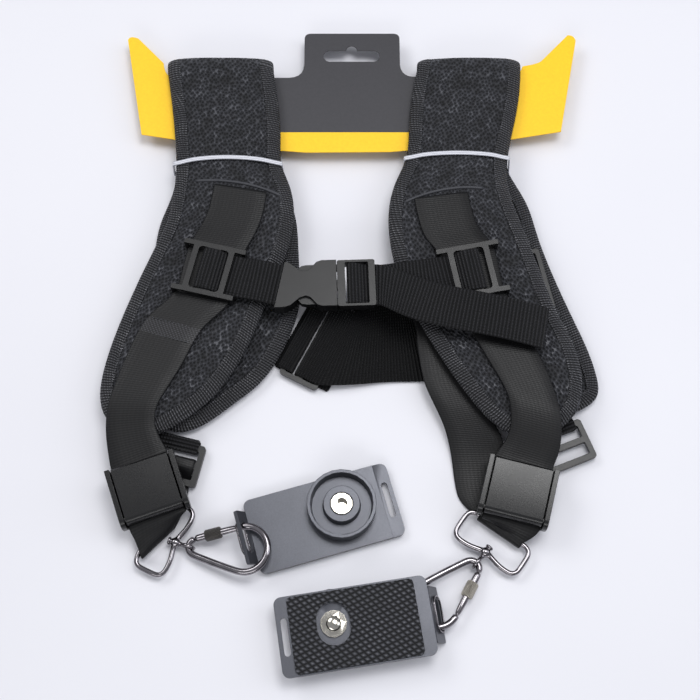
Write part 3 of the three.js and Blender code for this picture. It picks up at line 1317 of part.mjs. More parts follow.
for (const side of SIDES) {
  const { name } = side;
  const course = padCourse(side);
  piece(layout, `shoulder_pad_${name}`, padCore(course), 'mesh');
  piece(layout, `edge_binding_${name}`, padTape(course), 'tape');
  piece(layout, `pad_band_${name}`, padBand(side, course), 'band');

  const strap = name === 'left' ? carryStrapLeft(side, course) : carryStrapRight(side, course);
  piece(layout, `carry_strap_${name}`, strap, 'strap');

  const seat = seatOnPad(course, side.sliderSection, side.sliderAside, side.sliderLean);
  const slider = piece(layout, `sternum_slider_${name}`, sliderGeometry(), 'plastic');
  seat.decompose(slider.position, slider.quaternion, slider.scale);
  const webbing = name === 'left' ? chestStrapLeft(seat) : chestStrapRight(seat);
  piece(layout, `chest_strap_${name}`, webbing, 'webbing');

  const stopper = new THREE.Group();
  stopperFrame(side).decompose(stopper.position, stopper.quaternion, stopper.scale);
  layout.add(stopper);
  piece(stopper, `stopper_body_${name}`, stopperBody(), 'plastic');
  piece(stopper, `stopper_lid_${name}`, stopperLid(), 'plastic');
  const hinge = piece(stopper, `stopper_pin_${name}`, pin(PIN_RADIUS, STOPPER_HALF * 2, 12), 'plastic');
  hinge.rotation.z = Math.PI / 2;
  hinge.position.set(0, STOPPER_PIN.y, STOPPER_PIN.z);

  const ring = new THREE.Group();
  ring.position.set(side.ring[0], side.ring[1], METAL_HIGH);
  ring.rotation.z = rad(side.ringLean);
  layout.add(ring);
  piece(ring, `strap_ring_${name}`, strapRing(side.swivelTurn), 'nickel');
  const joiner = piece(ring, `swivel_${name}`, swivel(), 'nickel');
  joiner.position.set(0, RING_BOSS_Y, 0);
  joiner.rotation.z = rad(side.swivelTurn - 90);

  const eye = vec(SWIVEL_REACH, 0).applyAxisAngle(vec(0, 0, 1), rad(side.swivelTurn - 90));
  eye.y += RING_BOSS_Y;
  eye.applyAxisAngle(vec(0, 0, 1), rad(side.ringLean));
  const hook = new THREE.Group();
  hook.position.set(side.ring[0] + eye.x, side.ring[1] + eye.y, METAL_HIGH);
  hook.rotation.set(0, -rad(side.hookTilt), rad(side.hookTurn), 'ZYX');
  layout.add(hook);
  piece(hook, `hook_body_${name}`, hookBody(), 'nickel');
  const gate = new THREE.Group();
  gate.position.copy(GATE_PIVOT);
  gate.quaternion.setFromUnitVectors(vec(0, 1), GATE_AXIS);
  hook.add(gate);
  piece(gate, `hook_gate_${name}`, hookGate(), 'nickel');
  const sleeve = piece(gate, `gate_sleeve_${name}`, gateSleeve(), 'steel');
  sleeve.position.y = 4;

  const plate = new THREE.Group();
  const knobTop = PLATE_THICK / 2 + GAP + KNOB_HIGH;
  const rubberTop = PLATE_THICK / 2 + GAP + RUBBER_THICK;
  plate.position.set(side.plate[0], side.plate[1], side.plateFlipped ? knobTop : rubberTop);
  plate.rotation.set(0, side.plateFlipped ? Math.PI : 0, rad(side.plateTurn), 'ZYX');
  layout.add(plate);
  piece(plate, `camera_plate_${name}`, plateBody(), 'plate');
  piece(plate, `plate_rubber_${name}`, plateRubber(), 'rubber');
  const eyelet = piece(plate, `plate_eyelet_${name}`, plateEyelet(), 'nickel');
  flangeFrame().decompose(eyelet.position, eyelet.quaternion, eyelet.scale);
  const knob = new THREE.Group();
  knob.position.set(KNOB_OFF_LONG, KNOB_OFF_WIDE, PLATE_THICK / 2 + GAP);
  plate.add(knob);
  piece(knob, `plate_knob_${name}`, plateKnob(), 'plastic');
  piece(knob, `knob_screw_${name}`, knobScrew(), 'steel');

  const lock = piece(layout, `ladder_lock_${name}`, ladderLock(), 'plastic');
  lockFrame(side).decompose(lock.position, lock.quaternion, lock.scale);
  piece(layout, `ladder_tab_${name}`, ladderTab(side), 'webbing');
}

for (const [name, geometry] of [['chest_buckle_female', femaleBuckle()], ['chest_buckle_male', maleBuckle()]]) {
  const half = piece(layout, name, geometry, 'plastic');
  buckleFrame().decompose(half.position, half.quaternion, half.scale);
}

piece(layout, 'back_strap', backStrap(), 'webbing');
piece(layout, 'back_tab_left', backTab(), 'webbing');
const wide = piece(layout, 'back_adjuster_left', wideAdjuster(), 'plastic');
adjusterFrame().decompose(wide.position, wide.quaternion, wide.scale);
const loop = piece(layout, 'back_adjuster_right', adjusterLoop(), 'plastic');
loop.position.set(...RIGHT_LOOP.at);
loop.rotation.z = rad(RIGHT_LOOP.lean);
piece(layout, 'hang_card', hangCard(), 'card');

// The origin is under the middle of the whole, on the resting surface
layout.updateMatrixWorld(true);
const bounds = new THREE.Box3().setFromObject(layout, true);
const middle = bounds.getCenter(new THREE.Vector3());
layout.position.set(-middle.x, -middle.y, -bounds.min.z);

const harness = new THREE.Group();
harness.add(layout);

export default harness;
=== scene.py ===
import math

import bmesh
import bpy
from mathutils import Matrix, Vector, noise
from mathutils.bvhtree import BVHTree
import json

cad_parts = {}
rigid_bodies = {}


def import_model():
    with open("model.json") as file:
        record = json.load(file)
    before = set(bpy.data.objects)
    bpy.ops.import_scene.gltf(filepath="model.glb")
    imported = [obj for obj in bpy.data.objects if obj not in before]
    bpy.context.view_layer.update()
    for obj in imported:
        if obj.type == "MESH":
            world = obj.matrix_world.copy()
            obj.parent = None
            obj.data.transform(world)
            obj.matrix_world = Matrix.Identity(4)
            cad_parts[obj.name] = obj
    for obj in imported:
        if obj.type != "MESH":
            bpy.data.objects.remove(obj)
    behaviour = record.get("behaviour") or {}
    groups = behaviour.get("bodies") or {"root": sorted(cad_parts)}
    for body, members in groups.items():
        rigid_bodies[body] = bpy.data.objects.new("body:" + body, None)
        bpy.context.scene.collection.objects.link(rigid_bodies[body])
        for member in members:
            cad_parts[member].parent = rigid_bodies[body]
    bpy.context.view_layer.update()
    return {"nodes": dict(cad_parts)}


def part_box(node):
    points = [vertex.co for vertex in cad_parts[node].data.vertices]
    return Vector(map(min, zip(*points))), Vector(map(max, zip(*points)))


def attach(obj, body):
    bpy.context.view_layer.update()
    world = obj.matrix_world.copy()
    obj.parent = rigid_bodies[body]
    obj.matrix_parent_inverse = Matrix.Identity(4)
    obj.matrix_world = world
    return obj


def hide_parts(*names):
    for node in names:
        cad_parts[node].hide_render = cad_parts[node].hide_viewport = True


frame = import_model()

MM = 0.001
BODY = "harness"
STRAP_CREASE = 0.85  # how square the edges of flat webbing stay when it is rounded
BAND_CREASE = 0.6
SHARP = math.radians(32)  # edges of a hard piece that fold by more than this are eased
SQUARE = math.radians(50)  # edges of a cloth piece that fold by more than this are creased
MERGE = 0.001 * MM  # corners of a solid's loose triangles that lie closer than this are one
DOWN = Vector((0, 0, -1))
PLATE_TURN = {"left": 0.28, "right": 0.155}  # how each camera plate lies turned on the surface, in radians
SLEEVE_TURN = {"left": 0.35, "right": 0.85}  # the same for the sleeves on the hook gates
CARD_STRIP_TOP = 126.2 * MM  # upper edge of the card's yellow strip
CARD_WING_START = 92 * MM  # where its yellow wings start, to each side of the middle
BAND_TOP_Y, BAND_FOOT_Y = -2.75 * MM, -11.25 * MM  # the stretch of the left carry strap that bears an elastic


def placed(shape, name, material, body=BODY):
    """A finished bmesh as a smooth piece of the scene that rides on a body."""
    for face in shape.faces:
        face.smooth = True
    mesh = bpy.data.meshes.new(name)
    shape.to_mesh(mesh)
    shape.free()
    mesh.materials.append(material)
    piece = bpy.data.objects.new(name, mesh)
    bpy.context.collection.objects.link(piece)
    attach(piece, body)
    return piece


def rounded(piece, levels):
    """Rounds a piece off by subdivision, as much in the view as in the render."""
    smooth = piece.modifiers.new("rounded", "SUBSURF")
    smooth.levels = smooth.render_levels = levels


# Materials

def linear(code):
    """An sRGB colour such as "#1A2B3C" as linear light, opaque."""
    parts = [int(code[start:start + 2], 16) / 255 for start in (1, 3, 5)]
    return [part / 12.92 if part <= 0.04045 else ((part + 0.055) / 1.055) ** 2.4 for part in parts] + [1.0]


def add(tree, kind, settings, inputs):
    """One shader node with its settings and its inputs, each a number, a colour or another node's output."""
    made = tree.nodes.new("ShaderNode" + kind)
    for name, value in settings.items():
        setattr(made, name, value)
    for name, value in inputs.items():
        if isinstance(value, bpy.types.NodeSocket):
            tree.links.new(value, made.inputs[name])
        else:
            made.inputs[name].default_value = value
    return made


def begin(name, **finish):
    """A new material with its plain finish set on the shader's own sockets."""
    made = bpy.data.materials.new(name)
    made.use_nodes = True
    tree = made.node_tree
    shader = tree.nodes["Principled BSDF"]
    for socket, value in finish.items():
        shader.inputs[socket.replace("_", " ")].default_value = value
    return made, tree, shader


def dye(tree, shader, height, low, high, bump, depth, roughness):
    """Colours from a height pattern, with the same pattern as bump and as a change of roughness."""
    colours = add(tree, "ValToRGB", {}, {"Fac": height})
    colours.color_ramp.elements[0].color = linear(low)
    colours.color_ramp.elements[1].color = linear(high)
    tree.links.new(colours.outputs["Color"], shader.inputs["Base Color"])
    dull = add(tree, "MapRange", {}, {"Value": height, "To Min": roughness[0], "To Max": roughness[1]})
    tree.links.new(dull.outputs["Result"], shader.inputs["Roughness"])
    raised = add(tree, "Bump", {}, {"Strength": bump, "Distance": depth, "Height": height})
    tree.links.new(raised.outputs["Normal"], shader.inputs["Normal"])
    return colours


def wave(tree, vector, pitch, turn=(0, 0, 0), waver=0.0):
    """A sine rib along the vector's first axis, once it is turned, one rib to each pitch in metres."""
    turned = add(tree, "Mapping", {}, {"Vector": vector, "Rotation": turn})
    return add(tree, "TexWave", {"wave_type": "BANDS", "bands_direction": "X", "wave_profile": "SIN"},
               {"Vector": turned.outputs["Vector"], "Scale": math.tau / (20 * pitch), "Distortion": waver,
                "Detail": 1.0, "Detail Scale": 2.0}).outputs["Fac"]


def maths(tree, operation, first, second=0.5, clamp=False):
    """One sum in the shader; MULTIPLY_ADD adds one half to its product."""
    return add(tree, "Math", {"operation": operation, "use_clamp": clamp},
               {0: first, 1: second}).outputs["Value"]


def cloudy(tree, vector, size, detail=3.0):
    """Slow cloudy change over patches of about size metres."""
    return add(tree, "TexNoise", {}, {"Vector": vector, "Scale": 1 / size, "Detail": detail}).outputs["Fac"]


def place(tree, kind):
    """Where a pattern is laid: a piece's own UV map, its Object coordinates or, for the sky, a heading."""
    return add(tree, "TexCoord", {}, {}).outputs[kind]


def air_mesh(name, turn):
    """Open knitted air mesh: small holes in slanting rows between threads; the black in the holes is painted
    shade and the grey of the threads is a painted highlight.
    """
    made, tree, shader = begin(name, Sheen_Weight=0.12, Sheen_Roughness=0.4, Sheen_Tint=linear("#A6A9B4"),
                               Specular_IOR_Level=0.3)
    lie = place(tree, "UV")
    turned = add(tree, "Mapping", {}, {"Vector": lie, "Rotation": (0, 0, turn), "Scale": (1, 1.45, 1)})
    # The real holes are 1.3 mm apart and are drawn at 2.6 mm, so that the picture can hold them.
    holes = add(tree, "TexVoronoi", {"feature": "F1", "voronoi_dimensions": "2D"},
                {"Vector": turned.outputs["Vector"], "Scale": 1 / (2.6 * MM), "Randomness": 0.62})
    thread = maths(tree, "MULTIPLY", holes.outputs["Distance"], 1.5, clamp=True)
    # The crinkle varies the bump, and it also makes the painted highlight on the threads patchy.
    crinkle = add(tree, "MapRange", {}, {"Value": cloudy(tree, lie, 9 * MM, 4.0), "From Min": 0.36,
                                         "From Max": 0.66, "To Min": 0.35, "To Max": 1.25}).outputs["Result"]
    height = maths(tree, "MULTIPLY", thread, crinkle, clamp=True)
    dye(tree, shader, height, "#010101", "#47484D", bump=1.0, depth=1.8 * MM, roughness=(0.85, 0.45))
    return made


def binding(name):
    """Folded binding tape: tight ribs right across it, broken into beads of yarn, with a painted highlight on
    their tops and painted shade in the grooves between them.
    """
    made, tree, shader = begin(name, Sheen_Weight=0.08, Sheen_Tint=linear("#8A8F9E"), Specular_IOR_Level=0.4)
    lie = place(tree, "UV")
    # The real ribs are 0.7 mm apart and are drawn at 1.5 mm.
    ribs = wave(tree, lie, 1.5 * MM, (0, 0, 0.14), 0.4)
    beads = wave(tree, lie, 1.9 * MM, (0, 0, math.pi / 2 - 0.2), 0.4)
    height = maths(tree, "MULTIPLY", ribs, maths(tree, "MULTIPLY_ADD", beads, 0.75))
    # The cloudy factor is wear, and it also makes the painted highlight on the beads patchy.
    wear_and_highlight = maths(tree, "MULTIPLY", height, maths(tree, "ADD", cloudy(tree, lie, 20 * MM), 0.35), clamp=True)
    dye(tree, shader, wear_and_highlight, "#000000", "#6A6A6E", bump=1.0, depth=2 * MM, roughness=(0.8, 0.32))
    return made


def nylon(name, low, high, pitch, band=None):
    """Smooth woven nylon: fine ribs right across the strap with a painted highlight on their tops, a satin
    gleam, and cloudy wear along it that also makes that painted highlight patchy.
    A band is the stretch along the strap, in metres, where an elastic with pale flecks is sewn on."""
    made, tree, shader = begin(name, Sheen_Weight=0.05, Sheen_Tint=linear("#A9A8B4"), Specular_IOR_Level=0.3)
    lie = place(tree, "UV")
    ribs = wave(tree, lie, pitch, (0, 0, 0.06), 0.5)
    yarn = wave(tree, lie, 2.3 * MM, (0, 0, math.pi / 2), 1.5)
    height = maths(tree, "ADD", maths(tree, "MULTIPLY", ribs, 0.7), maths(tree, "MULTIPLY", yarn, 0.3))
    wear_and_highlight = maths(tree, "MULTIPLY", height, maths(tree, "ADD", cloudy(tree, lie, 25 * MM), 0.45), clamp=True)
    colours = dye(tree, shader, wear_and_highlight, low, high, bump=0.2, depth=0.3 * MM, roughness=(0.58, 0.4))
    if band:
        along = add(tree, "SeparateXYZ", {}, {"Vector": lie}).outputs["X"]
        within = maths(tree, "MULTIPLY", maths(tree, "GREATER_THAN", along, band[0]),
                       maths(tree, "LESS_THAN", along, band[1]))
        crossed = maths(tree, "MULTIPLY", wave(tree, lie, 1.4 * MM, (0, 0, 0.8)),
                        wave(tree, lie, 1.4 * MM, (0, 0, -0.8)))
        flecks = add(tree, "ValToRGB", {}, {"Fac": crossed})
        flecks.color_ramp.elements[0].color = linear("#0C0C0E")
        flecks.color_ramp.elements[1].color = linear("#3E3E43")
        sewn_on = add(tree, "Mix", {"data_type": "RGBA"},
                      {0: within, 6: colours.outputs["Color"], 7: flecks.outputs["Color"]})
        tree.links.new(sewn_on.outputs[2], shader.inputs["Base Color"])
    return made


def ribbed(name, pitch, high):
    """Coarse webbing: rounded ribs right across it, each one a row of small beads of yarn; the ribs' tops
    carry a painted highlight and the grooves painted shade.
    """
    made, tree, shader = begin(name, Sheen_Weight=0.04, Sheen_Tint=linear("#8C8D99"), Specular_IOR_Level=0.3)
    lie = place(tree, "UV")
    ribs = wave(tree, lie, pitch, (0, 0, 0), 0.15)
    beads = wave(tree, lie, 1.8 * MM, (0, 0, math.pi / 2), 0.2)
    height = maths(tree, "MULTIPLY", maths(tree, "POWER", ribs, 0.7),
                   maths(tree, "MULTIPLY_ADD", beads, 0.35))
    dye(tree, shader, height, "#000000", high, bump=1.0, depth=1.5 * MM, roughness=(0.8, 0.4))
    return made


def elastic(name):
    """White elastic: fine ridges along it, with painted shade that turns the grooves a little grey."""
    made, tree, shader = begin(name, Sheen_Weight=0.1)
    lie = place(tree, "UV")
    height = wave(tree, lie, 1.1 * MM, (0, 0, math.pi / 2), 0.3)
    dye(tree, shader, height, "#A9ABB4", "#E2E3EA", bump=0.4, depth=0.3 * MM, roughness=(0.75, 0.6))
    return made


def moulded(name, low, high, roughness):
    """Satin moulded plastic: a fine spark-eroded grain, cloudy gloss and faint rub marks."""
    made, tree, shader = begin(name, Specular_IOR_Level=0.5)
    lie = place(tree, "Object")
    grain = cloudy(tree, lie, 0.7 * MM, 2.0)
    rub = cloudy(tree, lie, 12 * MM, 4.0)
    height = maths(tree, "MULTIPLY", grain, maths(tree, "ADD", rub, 0.3), clamp=True)
    dye(tree, shader, height, low, high, bump=0.07, depth=0.2 * MM, roughness=roughness)
    return made


def plated(name, low, high):
    """Bright gunmetal plating: clear reflections with faint polishing marks and darker patches."""
    made, tree, shader = begin(name, Metallic=1.0)
    lie = place(tree, "Object")
    height = cloudy(tree, lie, 4 * MM, 5.0)
    dye(tree, shader, height, low, high, bump=0.04, depth=0.1 * MM, roughness=(0.16, 0.07))
    return made


def knurled(name, low, high, side):
    """Steel with a crossed knurl cut round it; the Mapping node lays the sleeve's own axis along X."""
    made, tree, shader = begin(name, Metallic=0.9)
    near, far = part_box(f"gate_sleeve_{side}")
    lie = add(tree, "Mapping", {"vector_type": "TEXTURE"},
              {"Vector": place(tree, "Object"), "Location": (near + far) / 2,
               "Rotation": (0, 0, SLEEVE_TURN[side])}).outputs["Vector"]
    part = add(tree, "SeparateXYZ", {}, {"Vector": lie})
    angle = maths(tree, "ARCTAN2", part.outputs["Y"], part.outputs["Z"])
    # Fourteen cuts go round the sleeve, and each climbs 1.3 mm from one to the next.
    about = maths(tree, "MULTIPLY", angle, 14.0)
    along = maths(tree, "MULTIPLY", part.outputs["X"], math.tau / (1.3 * MM))
    one = maths(tree, "SINE", maths(tree, "ADD", about, along))
    other = maths(tree, "SINE", maths(tree, "SUBTRACT", about, along))
    height = maths(tree, "MULTIPLY_ADD", maths(tree, "MULTIPLY", one, other), 0.5)
    # The knurl's colour follows its relief: painted shade darkens the grooves and the ridges carry a painted
    # highlight.
    dye(tree, shader, height, low, high, bump=0.8, depth=0.6 * MM, roughness=(0.5, 0.26))
    return made


def anodised(name):
    """Dark anodised plate: fine even grain with a dull metal gleam and small handling marks."""
    made, tree, shader = begin(name, Metallic=0.55, Specular_IOR_Level=0.5)
    lie = place(tree, "Object")
    grain = cloudy(tree, lie, 0.6 * MM, 2.0)
    marks = cloudy(tree, lie, 20 * MM, 5.0)
    height = maths(tree, "MULTIPLY", grain, maths(tree, "ADD", marks, 0.4), clamp=True)
    dye(tree, shader, height, "#47484E", "#585A61", bump=0.06, depth=0.2 * MM, roughness=(0.38, 0.28))
    return made


def waffle(name, turn):
    """Rubber sheet: a raised diagonal grid of small lozenges, dull grey on top as a painted highlight and
    black between them as painted shade.
    """
    made, tree, shader = begin(name, Specular_IOR_Level=0.4)
    lie = place(tree, "Object")
    one = wave(tree, lie, 2.7 * MM, (0, 0, turn + 0.95))
    other = wave(tree, lie, 2.7 * MM, (0, 0, turn - 0.95))
    lozenge = maths(tree, "MULTIPLY", maths(tree, "POWER", one, 0.6), maths(tree, "POWER", other, 0.6))
    height = maths(tree, "MULTIPLY", lozenge, maths(tree, "ADD", cloudy(tree, lie, 10 * MM), 0.5), clamp=True)
    dye(tree, shader, height, "#040405", "#56575D", bump=1.0, depth=1.2 * MM, roughness=(0.8, 0.45))
    return made


def card_print(name, strip, wing):
    """Printed card: yellow wings and lower strip, dark grey middle, with a faint fibre under the ink."""
    made, tree, shader = begin(name, Coat_Weight=0.15, Coat_Roughness=0.3)
    lie = place(tree, "Object")
    part = add(tree, "SeparateXYZ", {}, {"Vector": lie})
    above = maths(tree, "GREATER_THAN", part.outputs["Y"], strip)
    inside = maths(tree, "LESS_THAN", maths(tree, "ABSOLUTE", part.outputs["X"]), wing)
    dark = maths(tree, "MULTIPLY", above, inside)
    fibre = cloudy(tree, lie, 1.6 * MM, 4.0)
    yellow = dye(tree, shader, fibre, "#F5BE00", "#FDD00A",
                 bump=0.06, depth=0.2 * MM, roughness=(0.6, 0.48))
    grey = add(tree, "ValToRGB", {}, {"Fac": fibre})
    grey.color_ramp.elements[0].color = linear("#2D2D31")
    grey.color_ramp.elements[1].color = linear("#36353A")
    ink = add(tree, "Mix", {"data_type": "RGBA"},
              {0: dark, 6: yellow.outputs["Color"], 7: grey.outputs["Color"]})
    tree.links.new(ink.outputs[2], shader.inputs["Base Color"])
    return made


def thread_of(name, low, high):
    """Sewing thread: two plies that twist round each other along each stitch, with painted shade between the
    plies and a painted highlight on them.
    """
    made, tree, shader = begin(name, Sheen_Weight=0.3, Sheen_Tint=linear("#B8BAC4"))
    height = wave(tree, place(tree, "Object"), 0.6 * MM, (0.3, 0.2, 0.8), 0.5)
    dye(tree, shader, height, low, high, bump=0.4, depth=0.2 * MM, roughness=(0.6, 0.4))
    return made


mesh_left = air_mesh("air_mesh_left", 0.62)
mesh_right = air_mesh("air_mesh_right", -0.62)
tape = binding("ribbed_binding_tape")
# The real ribs are 0.5 mm apart and are drawn at 1.3 mm.
carry_nylon = nylon("carry_strap_nylon", "#040405", "#121214", 1.3 * MM)
webbing = ribbed("coarse_ribbed_webbing", 2.1 * MM, "#2C2C2F")
# The back webbing's ribs reach a darker top colour than the chest webbing's: painted shade for the shadow
# that the back strap lies in.
back_webbing = ribbed("fine_ribbed_webbing", 1.6 * MM, "#151517")
band_elastic = elastic("white_elastic")
stopper_plastic = moulded("stopper_plastic", "#040405", "#0E0E10", (0.34, 0.2))
slider_plastic = moulded("slider_plastic", "#040405", "#0F0F11", (0.46, 0.28))
wire = plated("gunmetal_wire", "#5A575B", "#AAA6AA")
screw_steel = plated("screw_steel", "#A29E96", "#D8D4CA")
plate_finish = anodised("anodised_plate")
black_thread = thread_of("black_thread", "#0B0B0D", "#2C2D33")
grey_thread = thread_of("grey_thread", "#1A1A1D", "#48494F")


# Cloth pieces, each from the skin of its own solid

def opposite(edge, corner):
    """The edge that carries straight on through a corner where six edges meet."""
    face = edge.link_faces[0]
    for _ in range(3):
        edge = next(other for other in face.edges if other is not edge and corner in other.verts)
        face = next(other for other in edge.link_faces if other is not face)
    return edge


def round_about(corner, count):
    """The ring of count corners round a looped skin that starts at a corner, in order."""
    for start in corner.link_edges:
        ring, edge, here = [corner], start, start.other_vert(corner)
        while here is not corner and len(ring) < count:
            ring.append(here)
            edge = opposite(edge, here)
            here = edge.other_vert(here)
        if here is corner and len(ring) == count:
            return ring
    raise ValueError("no ring of that many corners")


def middle(ring):
    """The mean place of a ring's corners."""
    return sum((corner.co for corner in ring), Vector()) / len(ring)


def by_angle(ring, along):
    """A flat closed ring in order round its middle, seen along the strap."""
    centre = middle(ring)
    wide = max((corner.co - centre for corner in ring), key=lambda arm: arm.length).normalized()
    high = along.cross(wide).normalized()

    def angle(corner):
        arm = corner.co - centre
        return math.atan2(arm.dot(high), arm.dot(wide))

    return sorted(ring, key=angle)


def in_order(corners):
    """Corners sorted by their number, because a set of them comes in another order on each run."""
    return sorted(corners, key=lambda corner: corner.index)


def neighbours(ring):
    """Every corner at the far end of an edge from a ring."""
    return {edge.other_vert(corner) for corner in ring for edge in corner.link_edges}


def matched(ring, last):
    """The same ring, turned so that each corner follows the nearest one of the last ring."""
    turns = [way[shift:] + way[:shift] for way in (ring, ring[::-1]) for shift in range(len(ring))]
    return min(turns, key=lambda turn: sum((a.co - b.co).length_squared for a, b in zip(turn, last)))


def rings_along(shape, count):
    """Every ring of corners of a long skin, in order, and whether the skin closes on itself."""
    ends = {corner for corner in shape.verts if len(corner.link_edges) != 6}
    if not ends:
        first = round_about(shape.verts[0], count)
        rings, seen = [first], set(first)
        while len(seen) < len(shape.verts):
            fresh = in_order(neighbours(rings[-1]) - seen)[0]
            rings.append(matched(round_about(fresh, count), rings[-1]))
            seen |= set(rings[-1])
        return rings, True
    start = max(ends, key=lambda corner: (corner.co.y, corner.co.x, corner.co.z))
    first = {start}
    while len(first) < count:
        first |= neighbours(first) & ends
    seen, sets = set(first), [first]
    while len(seen) < len(shape.verts):
        sets.append(neighbours(sets[-1]) - seen)
        seen |= sets[-1]
    sets = [in_order(ring) for ring in sets]
    middles = [middle(ring) for ring in sets]
    rings = []
    for number, ring in enumerate(sets):
        along = middles[min(number + 1, len(sets) - 1)] - middles[max(number - 1, 0)]
        ordered = by_angle(ring, along.normalized())
        rings.append(matched(ordered, rings[-1]) if rings else ordered)
    return rings, False


def skin(node, name, material, count, crease=0.0, cuts=0, levels=2):
    """A cloth piece in place of a node: its skin in clean quads, laid out in metres along and across.
    It comes back with the run of the skin, a list of (distance, middle, crosswise, width)."""
    shape = bmesh.new()
    shape.from_mesh(frame["nodes"][node].data)
    bmesh.ops.remove_doubles(shape, verts=shape.verts, dist=MERGE)
    shape.verts.index_update()
    shape.verts.ensure_lookup_table()
    rings, looped = rings_along(shape, count)
    row = {corner: number for number, ring in enumerate(rings) for corner in ring}
    seat = {corner: number for ring in rings for number, corner in enumerate(ring)}
    run, distance, crosswise = [], 0.0, None
    reach = {}
    for number, ring in enumerate(rings):
        centre = middle(ring)
        if run:
            distance += (centre - run[-1][1]).length
        lines = [one.co - other.co for one in ring for other in ring]
        arm = max(lines, key=lambda line: line.length).normalized()
        crosswise = arm if crosswise is None or arm.dot(crosswise) > 0 else -arm
        sides = [(corner.co - centre).dot(crosswise) for corner in ring]
        for corner, share in zip(ring, sides):
            reach[corner] = share
        run.append((distance, centre, crosswise, max(sides) - min(sides)))
    whole = distance + (run[0][1] - run[-1][1]).length if looped else distance
    extra = [edge for edge in shape.edges if seat[edge.verts[0]] != seat[edge.verts[1]]
             and (row[edge.verts[0]] != row[edge.verts[1]]
                  or (seat[edge.verts[0]] - seat[edge.verts[1]]) % count not in (1, count - 1))]
    bmesh.ops.dissolve_edges(shape, edges=extra, use_verts=False)
    layer = shape.loops.layers.uv.new("lie")
    for face in shape.faces:
        rows = {row[corner] for corner in face.verts}
        closing = looped and 0 in rows and len(rings) - 1 in rows
        for loop in face.loops:
            along = whole if closing and row[loop.vert] == 0 else run[row[loop.vert]][0]
            loop[layer].uv = (along, reach[loop.vert])
    if crease:
        creases = shape.edges.layers.float.new("crease_edge")
        for edge in shape.edges:
            if len(edge.link_faces) == 2 and edge.calc_face_angle() > SQUARE:
                edge[creases] = crease
    bmesh.ops.recalc_face_normals(shape, faces=shape.faces)
    if cuts:
        bmesh.ops.subdivide_edges(shape, edges=shape.edges, cuts=cuts, use_grid_fill=True, smooth=0.5)
    piece = placed(shape, name, material)
    rounded(piece, levels)
    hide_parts(node)
    return piece, run


def crumple(piece, wave_length, depth, seed):
    """Presses soft shallow hollows into a piece, never outward, so that nothing on it is touched."""
    spread = 0.35  # above 0, the hollows take more than half of the surface
    for corner in piece.data.vertices:
        spot = corner.co / wave_length + Vector((seed, seed, seed))
        hollow = max(0.0, noise.noise(spot) + spread)
        corner.co -= corner.normal * hollow * depth


pads, tapes, carry_straps, chest_straps = {}, {}, {}, {}
for side, mesh_fabric, seed in (("left", mesh_left, 3.7), ("right", mesh_right, 8.1)):
    pads[side], _ = skin(f"shoulder_pad_{side}", f"padded_{side}", mesh_fabric, 10,
                         cuts=1, levels=1)
    crumple(pads[side], 22 * MM, 0.9 * MM, seed)
    tapes[side] = skin(f"edge_binding_{side}", f"bound_edge_{side}", tape, 8)
    carry_straps[side] = skin(f"carry_strap_{side}", f"carry_webbing_{side}", carry_nylon, 4,
                              crease=STRAP_CREASE)
    chest_straps[side] = skin(f"chest_strap_{side}", f"chest_webbing_{side}", webbing, 4,
                              crease=STRAP_CREASE)
    skin(f"ladder_tab_{side}", f"lock_webbing_{side}", webbing, 4, crease=STRAP_CREASE)
    skin(f"pad_band_{side}", f"elastic_band_{side}", band_elastic, 4, crease=BAND_CREASE)
skin("back_strap", "back_webbing", back_webbing, 4, crease=STRAP_CREASE)
skin("back_tab_left", "back_webbing_end", back_webbing, 4, crease=STRAP_CREASE)


# Hard pieces, each an eased or rounded copy of its own solid

def refined(material, slot, *nodes, ease=0.0, round_levels=0, fuller=0.0):
    """A copy of each node with its flat faces joined, and its edges eased or its wire rounded, in its place.
    Rounding draws a wire thinner, so fuller first moves its skin out by that many millimetres."""
    for node in nodes:
        shape = bmesh.new()
        shape.from_mesh(frame["nodes"][node].data)
        bmesh.ops.remove_doubles(shape, verts=shape.verts, dist=MERGE)
        if round_levels:
            bmesh.ops.join_triangles(shape, faces=shape.faces, angle_face_threshold=math.radians(25),
                                     angle_shape_threshold=math.radians(60))
        else:
            bmesh.ops.dissolve_limit(shape, angle_limit=math.radians(1), verts=shape.verts, edges=shape.edges)
        for corner in shape.verts:
            corner.co += corner.normal * fuller * MM
        body = frame["nodes"][node].parent.name.split(":")[1]
        piece = placed(shape, node + "_finished", material, body)
        if round_levels:
            rounded(piece, round_levels)
        else:
            piece.data.set_sharp_from_angle(angle=SHARP)
            eased = piece.modifiers.new("eased", "BEVEL")
            eased.width = ease * MM
            eased.segments = 2
            eased.limit_method = "ANGLE"
            eased.angle_limit = SHARP
            eased.use_clamp_overlap = True
            eased.harden_normals = True
        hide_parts(node)


refined(slider_plastic, "dark_plastic", "sternum_slider_left", "sternum_slider_right",
        "chest_buckle_female", "chest_buckle_male", "ladder_lock_left", "ladder_lock_right",
        "back_adjuster_left", "back_adjuster_right", ease=0.35)
refined(stopper_plastic, "dark_plastic", "stopper_body_left", "stopper_body_right", "stopper_lid_left",
        "stopper_lid_right", "stopper_pin_left", "stopper_pin_right", ease=0.4)
refined(wire, "nickel_wire", "strap_ring_left", "strap_ring_right", "swivel_left", "swivel_right",
        "hook_body_left", "hook_body_right", "hook_gate_left", "hook_gate_right", round_levels=2, fuller=0.3)
refined(wire, "nickel_wire", "plate_eyelet_left", "plate_eyelet_right", ease=0.2)
refined(screw_steel, "steel", "knob_screw_left", "knob_screw_right", ease=0.15)
refined(plate_finish, "plate_metal", "camera_plate_left", "camera_plate_right", ease=0.3)
refined(plate_finish, "dark_plastic", "plate_knob_left", "plate_knob_right", ease=0.3)
